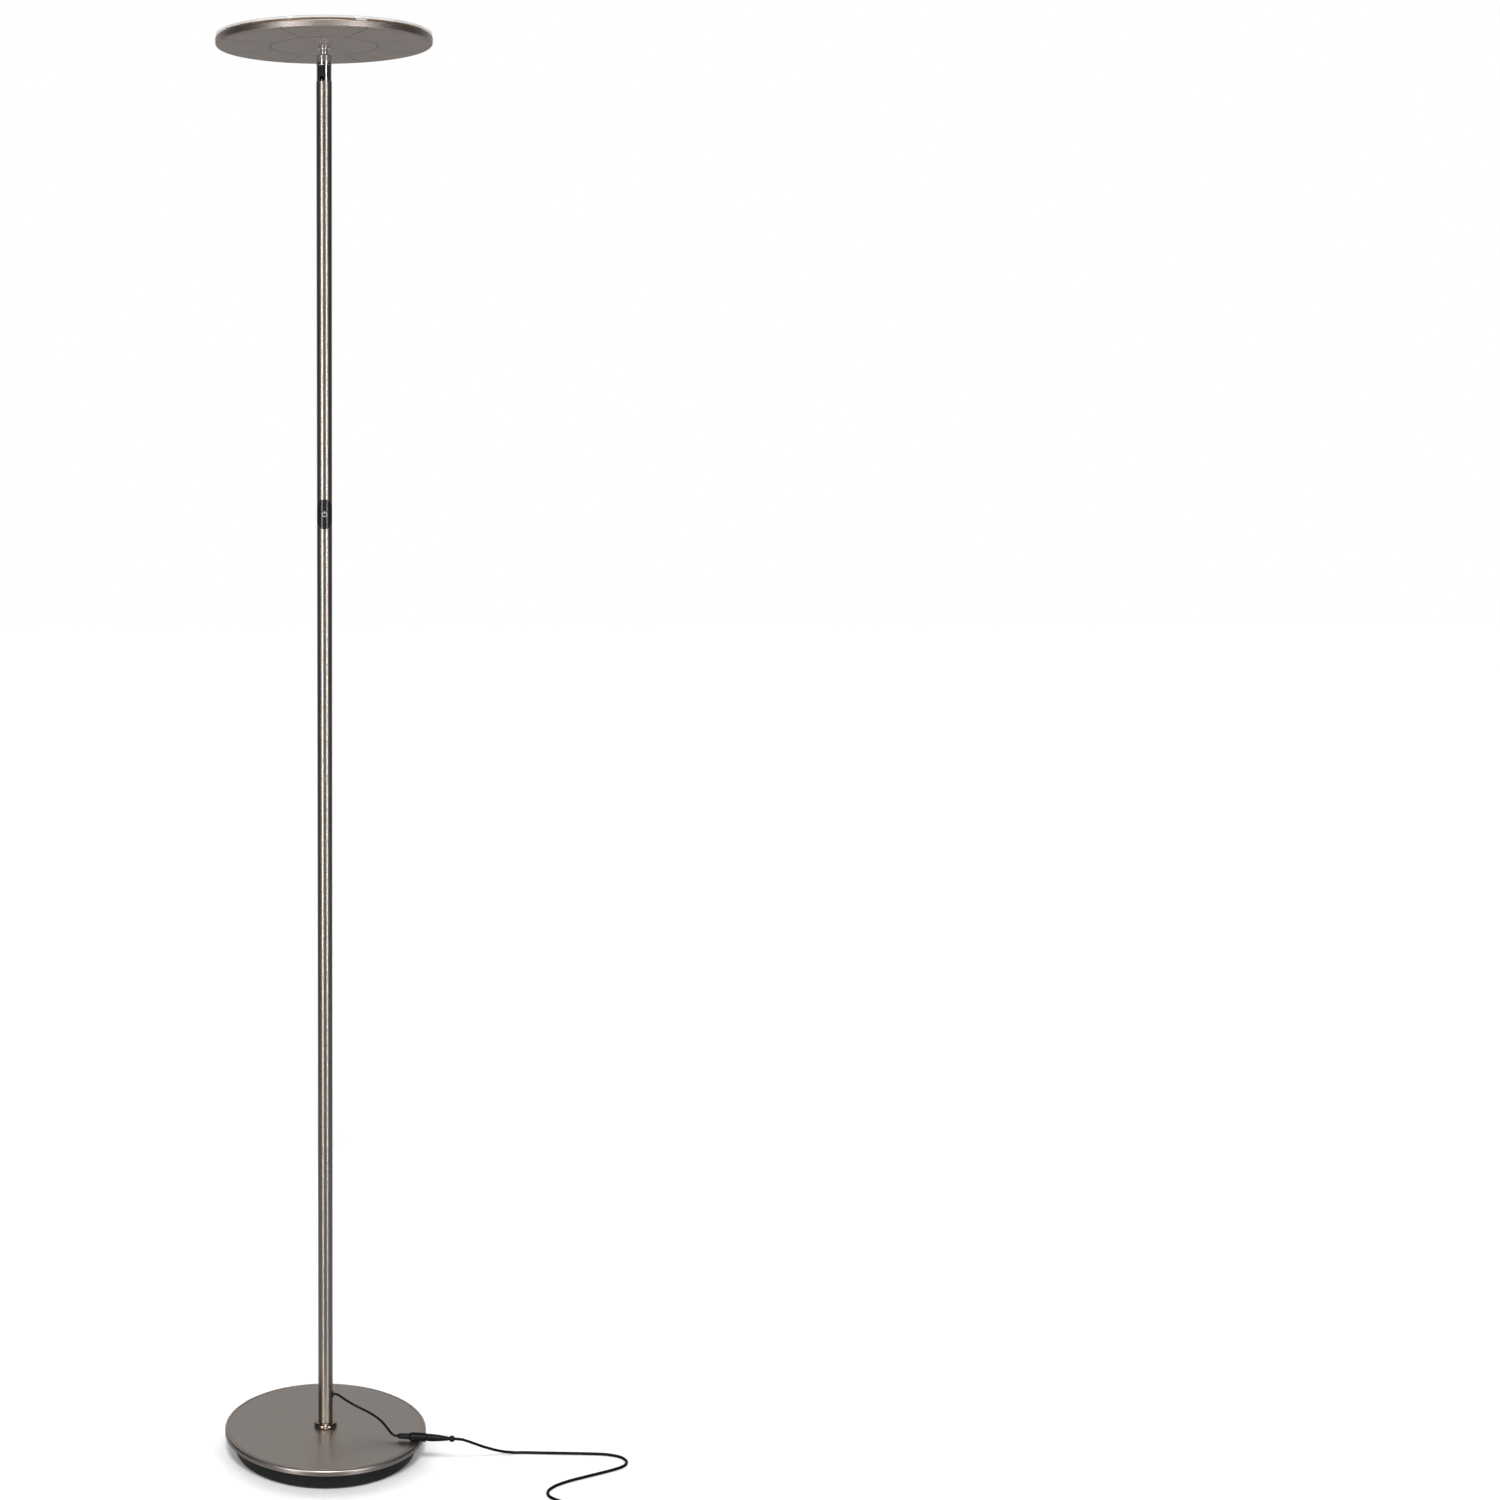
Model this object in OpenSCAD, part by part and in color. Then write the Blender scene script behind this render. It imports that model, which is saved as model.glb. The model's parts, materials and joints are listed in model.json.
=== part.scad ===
// Torchiere floor lamp: a weighted round base, a pole of four screwed tubes, a touch switch,
// a chromed ball joint and a flat round head with a ring of LEDs under a clear lens.
// Millimetres, +Z up. The origin is on the floor, on the pole's axis.

/* [Base] */
// Diameter of the sheet metal cover
base_d = 250; // [220:1:320]
// Height of the base, from the floor to its top face
base_h = 30; // [28:0.5:45]
// Thickness of the cover's sheet
cover_t = 1.5; // [1:0.1:2]
// Height of the cover's skirt
skirt_h = 6.7; // [5:0.1:12]
// Radius of the cover's pressed edge
cover_edge_r = 2.6; // [2.2:0.1:4]
// Distance that the pan's rim is set in from the cover's edge
pan_inset = 12.5; // [8:0.5:25]
// How much further in the pan is at its bottom
pan_draft = 0.5; // [0:0.5:8]
// Thickness of the pan's floor and wall
pan_t = 2.5; // [2.2:0.1:4]
// Gap all round between the iron weight and the pan's wall
weight_gap = 2; // [0.5:0.5:6]
// Thickness of the iron weight, outside its hub
weight_t = 12.5; // [12:0.5:18]
// Number of foot pads
pad_count = 6; // [3:1:10]
// Diameter of a foot pad
pad_d = 16; // [10:1:24]
// Thickness of a foot pad
pad_t = 3; // [2.6:0.1:4]
// How far a foot pad stands out of the pan
pad_out = 1.5; // [1:0.1:2]

/* [Pole] */
// Outer diameter of the pole's tubes
pole_d = 18; // [17:0.5:24]
// Wall thickness of the tubes
tube_wall = 1; // [0.8:0.1:1.5]
// Length of the lowest tube
tube_1_l = 402; // [250:0.5:600]
// Length of the second tube
tube_2_l = 410.5; // [200:0.5:600]
// Length of the third tube, which carries the switch
tube_3_l = 394.2; // [345:0.5:600]
// Length of the top tube
tube_4_l = 409.4; // [200:0.5:600]
// Bevel at the ends of the tubes
tube_bevel = 0.3; // [0.1:0.1:0.5]
// Diameter of the screw thread that joins the sections
thread_d = 10; // [8:0.5:12]
// Height of the ring at the foot of the pole
collar_h = 6; // [4:0.5:10]
// How far that ring stands out from the pole
collar_out = 5.4; // [4:0.1:10]

/* [Lead and switch] */
// Diameter of the lead that comes out of the pole
lead_d = 3; // [2.4:0.1:3.6]
// Height of the lead's hole above the floor
lead_hole_z = 71; // [66:1:76]
// Height of the middle of the touch switch above the third tube's lower end
switch_up = 311.5; // [60:0.5:320]
// Height of the switch plate
switch_h = 35; // [32:0.5:50]
// How far the switch plate stands out of the pole
switch_out = 0.8; // [0.5:0.1:1.5]
// Diameter of the supply cord
cord_d = 3.5; // [3:0.1:3.5]

/* [Neck] */
// How far the slotted socket is set in from the pole's surface
socket_step = 0.35; // [0.1:0.05:0.8]
// Height of the slotted socket
socket_h = 18.1; // [17:0.1:30]
// Width of the socket's slot
slot_w = 5; // [3:0.1:6]
// Direction that the slot faces
slot_angle = 252; // [0:1:359]
// Height of the cap on the ball joint
cap_h = 11.4; // [11:0.1:14]
// Wall of the cap, where the joint's ball is widest
cap_wall = 1; // [0.8:0.1:1.4]
// How much narrower the cap's mouth is than the ball, in radius
mouth_lip = 0.7; // [0.4:0.1:0.9]
// Diameter of the stem above the ball
stem_d = 9.6; // [8:0.1:9.6]
// Height of the stem's flange above the cap
flange_up = 6.4; // [5.5:0.1:10]
// Diameter of the stem's flange
flange_d = 13; // [12:0.1:20]
// Thickness of the stem's flange
flange_t = 3; // [2:0.1:5]

/* [Head] */
// Diameter of the head
head_d = 248; // [200:1:320]
// Height of the metal dish
dish_h = 8.4; // [8:0.1:14]
// Thickness of the dish's sheet
dish_t = 1.2; // [0.8:0.1:1.5]
// Diameter of the ring groove in the dish's underside
groove_ring_d = 123; // [80:1:180]
// Number of straight grooves from the ring to the rim
groove_count = 8; // [4:1:12]
// Height of the clear lens above the dish
lens_h = 4.8; // [4:0.1:8]
// Thickness of the lens
lens_t = 2; // [1.5:0.1:2.5]
// Diameter of the LED board
board_d = 116; // [104:1:160]
// Number of LEDs in the inner ring
led_inner_count = 12; // [6:1:16]
// Number of LEDs in the outer ring
led_outer_count = 18; // [10:1:28]

/* [Hidden] */
$fn = 96;

// Fits
fit = 0.05;        // radial clearance of threads, screws and pressed inserts
slip = 0.1;        // clearance round parts that drop in
ball_gap = 0.2;    // between the ball and its socket

// Levels, from the floor up
pan_z = pad_out;
pan_floor_z = pan_z + pan_t;
cover_under_z = base_h - cover_t;
tube_1_z = base_h + collar_h;
tube_2_z = tube_1_z + tube_1_l;
tube_3_z = tube_2_z + tube_2_l;
tube_4_z = tube_3_z + tube_3_l;
socket_z = tube_4_z + tube_4_l;
cap_z = socket_z + socket_h;
cap_top_z = cap_z + cap_h;
flange_z = cap_top_z + flange_up;
head_z = flange_z + flange_t;
dish_floor_z = head_z + dish_t;
dish_top_z = head_z + dish_h;
lens_top_z = dish_top_z + lens_h;
lens_under_z = lens_top_z - lens_t;

// Base
pan_rim_r = base_d / 2 - pan_inset;
pan_foot_r = pan_rim_r - pan_draft;
pan_hole_r = 18;
weight_r = pan_foot_r - pan_t - weight_gap;
hub_r = 26;
nut_pocket_r = 14;
nut_pocket_h = 9.5;
pad_ring_r = pan_foot_r - pad_d / 2 - 6;
screw_ring_r = (hub_r + pad_ring_r) / 2;
screw_count = 4;
screw_r = 2;
screw_head_r = 3.8;
screw_head_h = 2;
screw_l = 12;
groove_w = 0.6;
groove_depth = 0.4;
step_line_r = base_d / 2 - cover_edge_r - 2.2;
washer_t = 1.5;
nut_t = 6.5;
thread_r = thread_d / 2;
collar_r = pole_d / 2 + collar_out;

// Pole
pole_r = pole_d / 2;
bore_r = pole_r - tube_wall;
insert_r = bore_r - fit;
insert_l = 14;
stud_l = 10;
lead_r = lead_d / 2;
inner_lead_r = 1.2;
stud_bore_r = 3;
grommet_r = 4.4;
grommet_neck_r = lead_r + 1.1;
grommet_t = 1.2;
grommet_face_x = pole_r + grommet_t;

// Switch
switch_z = tube_3_z + switch_up;
switch_w = pole_d - 0.4;
window_w = 12;
window_h = switch_h - 6;
post_r = 1;
post_up = 11;
touch_board_w = 2 * sqrt(pow(bore_r - 0.25, 2) - pow(bore_r - 2.4, 2));
touch_board_h = 32;
touch_board_t = 1.2;
touch_board_y = -(bore_r - 2.4);
touch_spring_r = 2;
symbol_r = 3.1;
symbol_line = 0.9;
symbol_depth = 0.3;

// Neck: the ball's centre is the pivot of both joints
cap_r = pole_r;
cap_edge_r = 1.6;
cavity_r = cap_r - cap_wall;
ball_r = cavity_r - ball_gap;
ball_drop = 5;
ball_z = cap_top_z - ball_drop;
cap_mouth_r = ball_r - mouth_lip;
socket_r = pole_r - socket_step;
socket_neck_h = 1.8;
socket_neck_wall = 0.7;
socket_neck_r = cavity_r - fit;
socket_floor_z = socket_z + 5;
liner_r = socket_neck_r - socket_neck_wall - fit;
liner_t = 0.6;
seat_gap = 0.1;
cup_r = liner_r - liner_t - 0.08;
cup_hole_r = 3;
cup_floor_t = 3.1;
cup_z = ball_z - ball_r - seat_gap - cup_floor_t;
cup_top_z = ball_z - sqrt(pow(ball_r + seat_gap, 2) - pow(cup_r - 0.1, 2));
spring_wire_r = 0.6;
spring_r = 5;
spring_turns = 3;
stem_r = stem_d / 2;
stem_bore_r = 1.6;
funnel_r = 5.5;
stem_thread_r = 5;
stem_nut_t = 4;
stem_nut_r = 7.5;
stem_thread_l = dish_t + stem_nut_t + 0.5;

// Head
head_r = head_d / 2;
dish_edge_r = 3;
head_groove_w = 1;
boss_r = 3;
boss_h = 1.2;
boss_ring_r = board_d / 2 - 6;
boss_count = 3;
board_z = dish_floor_z + boss_h;
board_t = 1.2;
board_hole_r = 14;
board_screw_r = 1.2;
chip_size = [3.5, 2.8, 0.7];
terminal_size = [8, 10, 4];
terminal_r = 20;
led_inner_r = terminal_r + terminal_size[0] / 2 + 3;
led_outer_r = board_d / 2 - 15;
rim_w = 1.8;
lens_r = head_r - 0.6;
lens_foot_r = head_r - dish_t - 0.2;
lens_foot_h = 2;
lens_bore_r = lens_foot_r - rim_w;
film_t = 0.4;
film_r = lens_bore_r - 0.2;
clip_size = [3, 12, 7.2];
clip_turn = 50;
clip_count = 3;

// The connector lies on the base's top, across its edge
connector_turn = -7;
connector_r = 5.3;
connector_at = [88.5, -41.5, base_h + connector_r];
socket_tail_l = 16;
socket_body_l = 19;
plug_body_l = 20;
plug_tail_l = 15;
connector_l = socket_tail_l + socket_body_l + plug_body_l + plug_tail_l;
connector_axis = [cos(connector_turn), sin(connector_turn), 0];
plug_end = connector_at + connector_l * connector_axis;

// The lead from the pole to the connector
lead_route = [
    [grommet_face_x, 0, lead_hole_z], [grommet_face_x + 1.5, 0, lead_hole_z],
    [15, -0.2, 70.1], [18, -0.5, 68.4], [22, -1.2, 65.8], [27, -2.2, 62.8],
    [33, -3.8, 59.8], [39, -5.8, 57.2], [45.5, -8.2, 55], [52, -11.2, 52.8],
    [58, -14.5, 50.7], [63.5, -18.2, 48.5], [68.5, -22.5, 46], [73, -27.5, 43],
    [77, -33, 40], [80, -37.2, 37.8], [83, -40, 36.2],
    connector_at - 2.5 * connector_axis, connector_at
];

// The supply cord from the plug down to the floor, out and back, and to the coil
floor_z = cord_d / 2;
cord_route = [
    plug_end, plug_end + 4 * connector_axis, [168, -49.6, 34], [175, -46.5, 30.3], [181, -43.5, 26.8],
    [187, -40, 23], [193, -36.5, 19.2], [199, -33, 15.7], [205, -29.5, 12.3],
    [211, -26, 9.2], [217, -22.8, 6.4], [223, -20, 4.2], [229, -18, 2.7],
    [236, -17, floor_z], [245, -16.8, floor_z], [257, -17.2, floor_z],
    [270, -17.8, floor_z], [284, -18.4, floor_z], [298, -19, floor_z],
    [312, -19.5, floor_z], [326, -20.2, floor_z], [338, -21, floor_z],
    [348, -22.5, floor_z], [357, -25.5, floor_z], [364.5, -30, floor_z],
    [369, -36.5, floor_z], [370, -43.5, floor_z], [367, -51, floor_z],
    [360.5, -57.5, floor_z], [351, -63.5, floor_z], [340, -69.5, floor_z],
    [328, -75.5, floor_z], [316, -81.5, floor_z], [304, -87.5, floor_z],
    [293, -93.5, floor_z], [283, -100, floor_z], [274.5, -107, floor_z],
    [268, -115, floor_z], [265, -123.5, floor_z], [266, -131.5, floor_z],
    [270.5, -138, floor_z], [277, -143.5, floor_z], [285, -150, floor_z],
    [295, -158, floor_z], [305, -166, 2.1], [314, -173, 2.35]
];

// The coil: flat layers of three turns, wound clockwise from above
coil_at = [306, -198];
coil_mean_r = 21;
coil_layers = 3;
coil_columns = 3;
coil_lift = 0.6;
coil_inner_r = coil_mean_r - coil_columns * cord_d / 2;
coil_outer_r = coil_mean_r + coil_columns * cord_d / 2;
coil_h = coil_layers * cord_d;
tie_turn = 20;
tie_w = 8;

// The coil's last turn leaves over its top, to the power adapter
adapter_size = [75, 43, 27];
adapter_edge_r = 3;
relief_l = 22;
relief_x = 272;
adapter_y = -215.5;
adapter_z = adapter_size[2] / 2;
tail_z = coil_lift + coil_h + floor_z;
tail_route = [
    [306, adapter_y, tail_z], [298, adapter_y, tail_z], [290, adapter_y, tail_z],
    [282, adapter_y, tail_z + 0.2], [277, adapter_y, adapter_z], [relief_x, adapter_y, adapter_z]
];
blade_size = [16, 1.5, 6.3];
blade_spacing = 12.7;

// Vectors and tubes

function unit(v) = v / norm(v);

function heading(path, i) = unit(path[min(i + 1, len(path) - 1)] - path[max(i - 1, 0)]);

// One sideways vector for each point, each the last one turned as little as possible
function sides(path, side, i = 0) =
    i == len(path) ? [] :
    let (t = heading(path, i), s = unit(side - (side * t) * t))
    concat([s], sides(path, s, i + 1));

function ring(centre, t, s, r, n) =
    [for (k = [0 : n - 1]) centre + r * (cos(360 * k / n) * s + sin(360 * k / n) * cross(t, s))];

// A tube of circular section, swept along a list of points
module swept_tube(path, r, side = [0, 0, 1], n = 8) {
    s = sides(path, side);
    last = len(path) - 1;
    points = [for (i = [0 : last]) each ring(path[i], heading(path, i), s[i], r, n)];
    walls = [for (i = [0 : last - 1], k = [0 : n - 1], half = [0, 1])
        let (a = i * n + k, b = i * n + (k + 1) % n, c = a + n, d = b + n)
        half == 0 ? [a, c, d] : [a, d, b]];
    first_cap = [for (k = [0 : n - 1]) k];
    last_cap = [for (k = [n - 1 : -1 : 0]) last * n + k];
    polyhedron(points, concat([first_cap, last_cap], walls));
}

module ring_of(count, r, turn = 0) {
    for (i = [0 : count - 1]) {
        rotate([0, 0, turn + 360 * i / count])
            translate([r, 0, 0])
                children();
    }
}

module disc(r, z0, z1, hole = 0) {
    translate([0, 0, z0])
        difference() {
            cylinder(r = r, h = z1 - z0);
            if (hole > 0)
                translate([0, 0, -1])
                    cylinder(r = hole, h = z1 - z0 + 2);
        }
}

module along_x() {
    rotate([0, 90, 0])
        children();
}

// A slot-shaped outline, upright, with half-round ends
module obround(w, h) {
    square([w, h - w], center = true);
    for (side = [-1, 1])
        translate([0, side * (h - w) / 2])
            circle(d = w);
}

// An outline in X and Z, pushed through from the front of the pole to its axis
module through_front(z) {
    translate([0, 0, z])
        rotate([90, 0, 0])
            linear_extrude(height = 2 * pole_r)
                children();
}

// Base

module base_cover() {
    r = base_d / 2;
    color("#877e76")
        difference() {
            rotate_extrude() {
                translate([thread_r + slip, cover_under_z])
                    square([r - cover_edge_r - thread_r - slip, cover_t]);
                translate([r - cover_t, base_h - skirt_h])
                    square([cover_t, skirt_h - cover_edge_r]);
                intersection() {
                    translate([r - cover_edge_r, base_h - cover_edge_r])
                        difference() {
                            circle(r = cover_edge_r);
                            circle(r = cover_edge_r - cover_t);
                        }
                    translate([r - cover_edge_r, base_h - cover_edge_r])
                        square(cover_edge_r + 1);
                }
            }
            disc(step_line_r + groove_w, base_h - groove_depth, base_h + 1, step_line_r);
        }
}

module base_weight() {
    color("#3a3a3c")
        difference() {
            union() {
                disc(weight_r, pan_floor_z, pan_floor_z + weight_t);
                disc(hub_r, pan_floor_z + weight_t - 1, cover_under_z);
            }
            disc(thread_r + slip, pan_floor_z - 1, cover_under_z + 1);
            disc(nut_pocket_r, pan_floor_z - 1, pan_floor_z + nut_pocket_h);
            ring_of(screw_count, screw_ring_r, 45)
                disc(screw_r + fit, pan_floor_z - 1, pan_z + screw_l + 1);
        }
}

module base_pan() {
    color("#1d1e20")
        difference() {
            rotate_extrude()
                polygon([
                    [pan_hole_r, pan_z], [pan_foot_r - 1.2, pan_z], [pan_foot_r, pan_z + 1.2],
                    [pan_rim_r, cover_under_z], [pan_rim_r - pan_t, cover_under_z],
                    [pan_foot_r - pan_t, pan_floor_z], [pan_hole_r, pan_floor_z]
                ]);
            ring_of(pad_count, pad_ring_r)
                disc(pad_d / 2 + fit, pan_z - 1, pad_t);
            ring_of(screw_count, screw_ring_r, 45) {
                disc(screw_r + fit, pan_z - 1, pan_floor_z + 1);
                translate([0, 0, pan_z])
                    cylinder(r1 = screw_head_r + fit, r2 = screw_r + fit, h = screw_head_h);
            }
        }
}

module foot_pads() {
    color("#2b2b2b")
        ring_of(pad_count, pad_ring_r)
            disc(pad_d / 2, 0, pad_t);
}

module pan_screws() {
    color("silver")
        ring_of(screw_count, screw_ring_r, 45)
            translate([0, 0, pan_z])
                difference() {
                    union() {
                        cylinder(r1 = screw_head_r, r2 = screw_r, h = screw_head_h);
                        cylinder(r = screw_r, h = screw_l);
                    }
                    translate([0, 0, -0.5])
                        cylinder(r = 1.3, h = 1.6, $fn = 6);
                }
}

module base_stud() {
    color("silver")
        disc(thread_r, pan_floor_z + nut_pocket_h - washer_t - nut_t - 0.5,
             tube_1_z + insert_l - 2);
}

module base_washer() {
    top = pan_floor_z + nut_pocket_h;
    color("silver")
        disc(nut_pocket_r - 1, top - washer_t, top, thread_r + slip);
}

module base_nut() {
    top = pan_floor_z + nut_pocket_h - washer_t;
    color("silver")
        difference() {
            translate([0, 0, top - nut_t])
                cylinder(r = thread_r * 1.9, h = nut_t, $fn = 6);
            disc(thread_r + fit, top - nut_t - 1, top + 1);
        }
}

module foot_collar() {
    color("#6b635b")
        translate([0, 0, base_h])
            difference() {
                rotate_extrude() {
                    square([collar_r - collar_h / 2, collar_h]);
                    intersection() {
                        translate([collar_r - collar_h / 2, collar_h / 2])
                            circle(r = collar_h / 2);
                        square([collar_r + 1, collar_h]);
                    }
                }
                disc(thread_r + slip, -1, collar_h + 1);
            }
}

// Pole

module tube(z, l) {
    translate([0, 0, z])
        rotate_extrude()
            polygon([
                [bore_r, 0], [pole_r - tube_bevel, 0], [pole_r, tube_bevel],
                [pole_r, l - tube_bevel], [pole_r - tube_bevel, l], [bore_r, l]
            ]);
}

module pole_tube_1() {
    color("#8a8178")
        difference() {
            tube(tube_1_z, tube_1_l);
            translate([bore_r - 2, 0, lead_hole_z])
                along_x()
                    cylinder(r = grommet_neck_r + fit, h = tube_wall + 4);
        }
}

module pole_tube_2() {
    color("#8a8178")
        tube(tube_2_z, tube_2_l);
}

module pole_tube_3() {
    color("#8a8178")
        difference() {
            tube(tube_3_z, tube_3_l);
            through_front(switch_z)
                obround(window_w + 2 * slip, window_h + 2 * slip);
        }
}

module pole_tube_4() {
    color("#8a8178")
        tube(tube_4_z, tube_4_l);
}

module pole_sockets() {
    color("silver") {
        disc(insert_r, tube_1_z, tube_1_z + insert_l, thread_r + fit);
        for (top = [tube_2_z, tube_3_z, tube_4_z, socket_z])
            disc(insert_r, top - insert_l, top, thread_r + fit);
    }
}

module pole_studs() {
    color("silver")
        for (z = [tube_2_z, tube_3_z, tube_4_z])
            difference() {
                union() {
                    disc(insert_r, z, z + insert_l);
                    disc(thread_r, z - stud_l, z + 1);
                }
                disc(stud_bore_r, z - stud_l - 1, z + insert_l + 1);
            }
}

module cord_grommet() {
    color("#161616")
        translate([0, 0, lead_hole_z])
            difference() {
                union() {
                    difference() {
                        translate([pole_r - 2, 0, 0])
                            along_x()
                                cylinder(r = grommet_r, h = grommet_t + 2);
                        translate([0, 0, -grommet_r - 1])
                            cylinder(r = pole_r, h = 2 * grommet_r + 2);
                    }
                    translate([bore_r - 1, 0, 0])
                        along_x()
                            cylinder(r = grommet_neck_r, h = tube_wall + 1.2);
                }
                along_x()
                    cylinder(r = lead_r + fit, h = 2 * pole_r);
            }
}

module pole_lead_lower() {
    z = lead_hole_z;
    y = touch_board_y + touch_board_t / 2;
    low = switch_z - touch_board_h / 2;
    color("#161616")
        swept_tube([
            [grommet_face_x, 0, z], [7.5, 0, z], [5, 0, z + 0.6], [2.6, 0, z + 2.2],
            [0.9, 0, z + 5], [0, 0, z + 9], [0, 0, z + 20], [0, 0, low - 22],
            [0, y / 5, low - 16], [0, y * 0.8, low - 9], [0, y, low - 3], [0, y, low]
        ], lead_r, [0, 1, 0]);
}

module pole_lead_upper() {
    y = touch_board_y + touch_board_t / 2;
    high = switch_z + touch_board_h / 2;
    color("#161616")
        swept_tube([
            [0, y, high], [0, y, high + 3], [0, y * 0.8, high + 9], [0, y / 5, high + 16],
            [0, 0, high + 22], [0, 0, socket_z], [0, 0, ball_z - 0.8]
        ], inner_lead_r, [1, 0, 0]);
}

// Switch

// The cover's plate and the symbol let into it share this outline
module symbol_outline() {
    difference() {
        circle(r = symbol_r);
        circle(r = symbol_r - symbol_line);
        translate([-symbol_line, 0])
            square([2 * symbol_line, symbol_r + 1]);
    }
    translate([-symbol_line / 2, symbol_r * 0.1])
        square([symbol_line, symbol_r]);
}

module front_shell(r0, r1, w, h) {
    intersection() {
        translate([0, 0, switch_z - h / 2 - 1])
            difference() {
                cylinder(r = r1, h = h + 2);
                translate([0, 0, -1])
                    cylinder(r = r0, h = h + 4);
            }
        through_front(switch_z)
            obround(w, h);
    }
}

module switch_cover() {
    color("#1b1b1c")
        difference() {
            union() {
                front_shell(pole_r, pole_r + switch_out, switch_w, switch_h);
                front_shell(bore_r + slip, pole_r + slip, window_w, window_h);
                for (side = [-1, 1])
                    translate([0, touch_board_y, switch_z + side * post_up])
                        rotate([90, 0, 0])
                            cylinder(r = post_r, h = bore_r + 0.6 + touch_board_y);
            }
            symbol_inlay();
        }
}

module symbol_inlay() {
    intersection() {
        translate([0, 0, switch_z - symbol_r - 2])
            difference() {
                cylinder(r = pole_r + switch_out, h = 2 * symbol_r + 4);
                translate([0, 0, -1])
                    cylinder(r = pole_r + switch_out - symbol_depth, h = 2 * symbol_r + 6);
            }
        through_front(switch_z)
            symbol_outline();
    }
}

module switch_symbol() {
    color("#9a9c9e")
        symbol_inlay();
}

module touch_board() {
    color("#1f6b3a")
        translate([-touch_board_w / 2, touch_board_y, switch_z - touch_board_h / 2])
            cube([touch_board_w, touch_board_t, touch_board_h]);
}

module touch_spring() {
    h = sqrt(pow(bore_r + slip, 2) - pow(touch_spring_r, 2)) + touch_board_y;
    color("silver")
        translate([0, touch_board_y, switch_z])
            rotate([90, 0, 0])
                difference() {
                    cylinder(r = touch_spring_r, h = h);
                    translate([0, 0, -1])
                        cylinder(r = touch_spring_r - 0.6, h = h + 2);
                }
}

// Neck

module neck_socket() {
    color("#d9dbdd")
        difference() {
            union() {
                disc(thread_r, socket_z - stud_l, socket_z + 1);
                disc(socket_r, socket_z, cap_z);
                disc(socket_neck_r, cap_z - 1, cap_z + socket_neck_h);
            }
            disc(stud_bore_r, socket_z - stud_l - 1, socket_floor_z + 1);
            disc(liner_r + fit, socket_floor_z, cap_z + socket_neck_h + 1);
            rotate([0, 0, slot_angle])
                translate([socket_r - 2.6, -slot_w / 2, socket_z])
                    cube([4, slot_w, socket_h]);
        }
}

module neck_cap() {
    h = cap_h;
    color("#d9dbdd")
        translate([0, 0, cap_z])
            difference() {
                rotate_extrude() {
                    square([cap_r, h - cap_edge_r]);
                    translate([0, h - cap_edge_r - 0.5])
                        square([cap_r - cap_edge_r, cap_edge_r + 0.5]);
                    intersection() {
                        translate([cap_r - cap_edge_r, h - cap_edge_r])
                            circle(r = cap_edge_r);
                        translate([cap_r - cap_edge_r - 0.5, h - cap_edge_r - 0.5])
                            square(cap_edge_r + 1);
                    }
                }
                translate([0, 0, -1])
                    cylinder(r = cavity_r, h = h - ball_drop + 1);
                translate([0, 0, h - ball_drop])
                    sphere(r = cavity_r);
                translate([0, 0, h - ball_drop])
                    cylinder(r = cap_mouth_r, h = ball_drop + 1);
            }
}

module joint_liner() {
    color("#141414")
        disc(liner_r, socket_floor_z, cap_z - 0.6, liner_r - liner_t);
}

module joint_spring() {
    low = socket_floor_z + spring_wire_r;
    high = cup_z - spring_wire_r;
    steps = 16 * spring_turns;
    color("silver")
        swept_tube([for (i = [0 : steps])
            [
                spring_r * cos(360 * spring_turns * i / steps),
                spring_r * sin(360 * spring_turns * i / steps),
                low + (high - low) * i / steps
            ]], spring_wire_r, [1, 0, 0]);
}

module friction_cup() {
    color("#f0efe8")
        difference() {
            disc(cup_r, cup_z, cup_top_z, cup_hole_r);
            translate([0, 0, ball_z])
                sphere(r = ball_r + seat_gap);
        }
}

module ball_stem() {
    neck_low = sqrt(pow(ball_r, 2) - pow(stem_r, 2)) - 0.3;
    neck_high = flange_z - ball_z;
    color("#d9dbdd")
        translate([0, 0, ball_z])
            difference() {
                union() {
                    sphere(r = ball_r);
                    disc(stem_r, neck_low, neck_high + 0.5);
                    disc(flange_d / 2, neck_high, neck_high + flange_t);
                    disc(stem_thread_r, neck_high + flange_t - 1,
                         neck_high + flange_t + stem_thread_l);
                }
                translate([0, 0, -ball_r - 1])
                    cylinder(r = stem_bore_r, h = ball_r + neck_high + 20);
                translate([0, 0, -ball_r])
                    cylinder(r1 = funnel_r, r2 = stem_bore_r, h = ball_r);
            }
}

module stem_nut() {
    color("silver")
        difference() {
            translate([0, 0, dish_floor_z])
                cylinder(r = stem_nut_r, h = stem_nut_t, $fn = 6);
            disc(stem_thread_r + fit, dish_floor_z - 1, dish_floor_z + stem_nut_t + 1);
        }
}

// Head

module head_lead() {
    top = head_z + stem_thread_l;
    over = top + 2.6;
    in_z = board_z + board_t + terminal_size[2] / 2;
    in_x = terminal_r - terminal_size[0] / 2;
    color("#f2f2f2")
        swept_tube([
            [0, 0, ball_z], [0, 0, top + 0.3], [0.6, 0, top + 1.5], [2, 0, over - 0.3],
            [4, 0, over], [7, 0, over], [10, 0, over - 0.4], [13, 0, in_z + 0.3],
            [in_x - 1.5, 0, in_z], [in_x, 0, in_z]
        ], 1, [0, 1, 0]);
}

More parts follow.
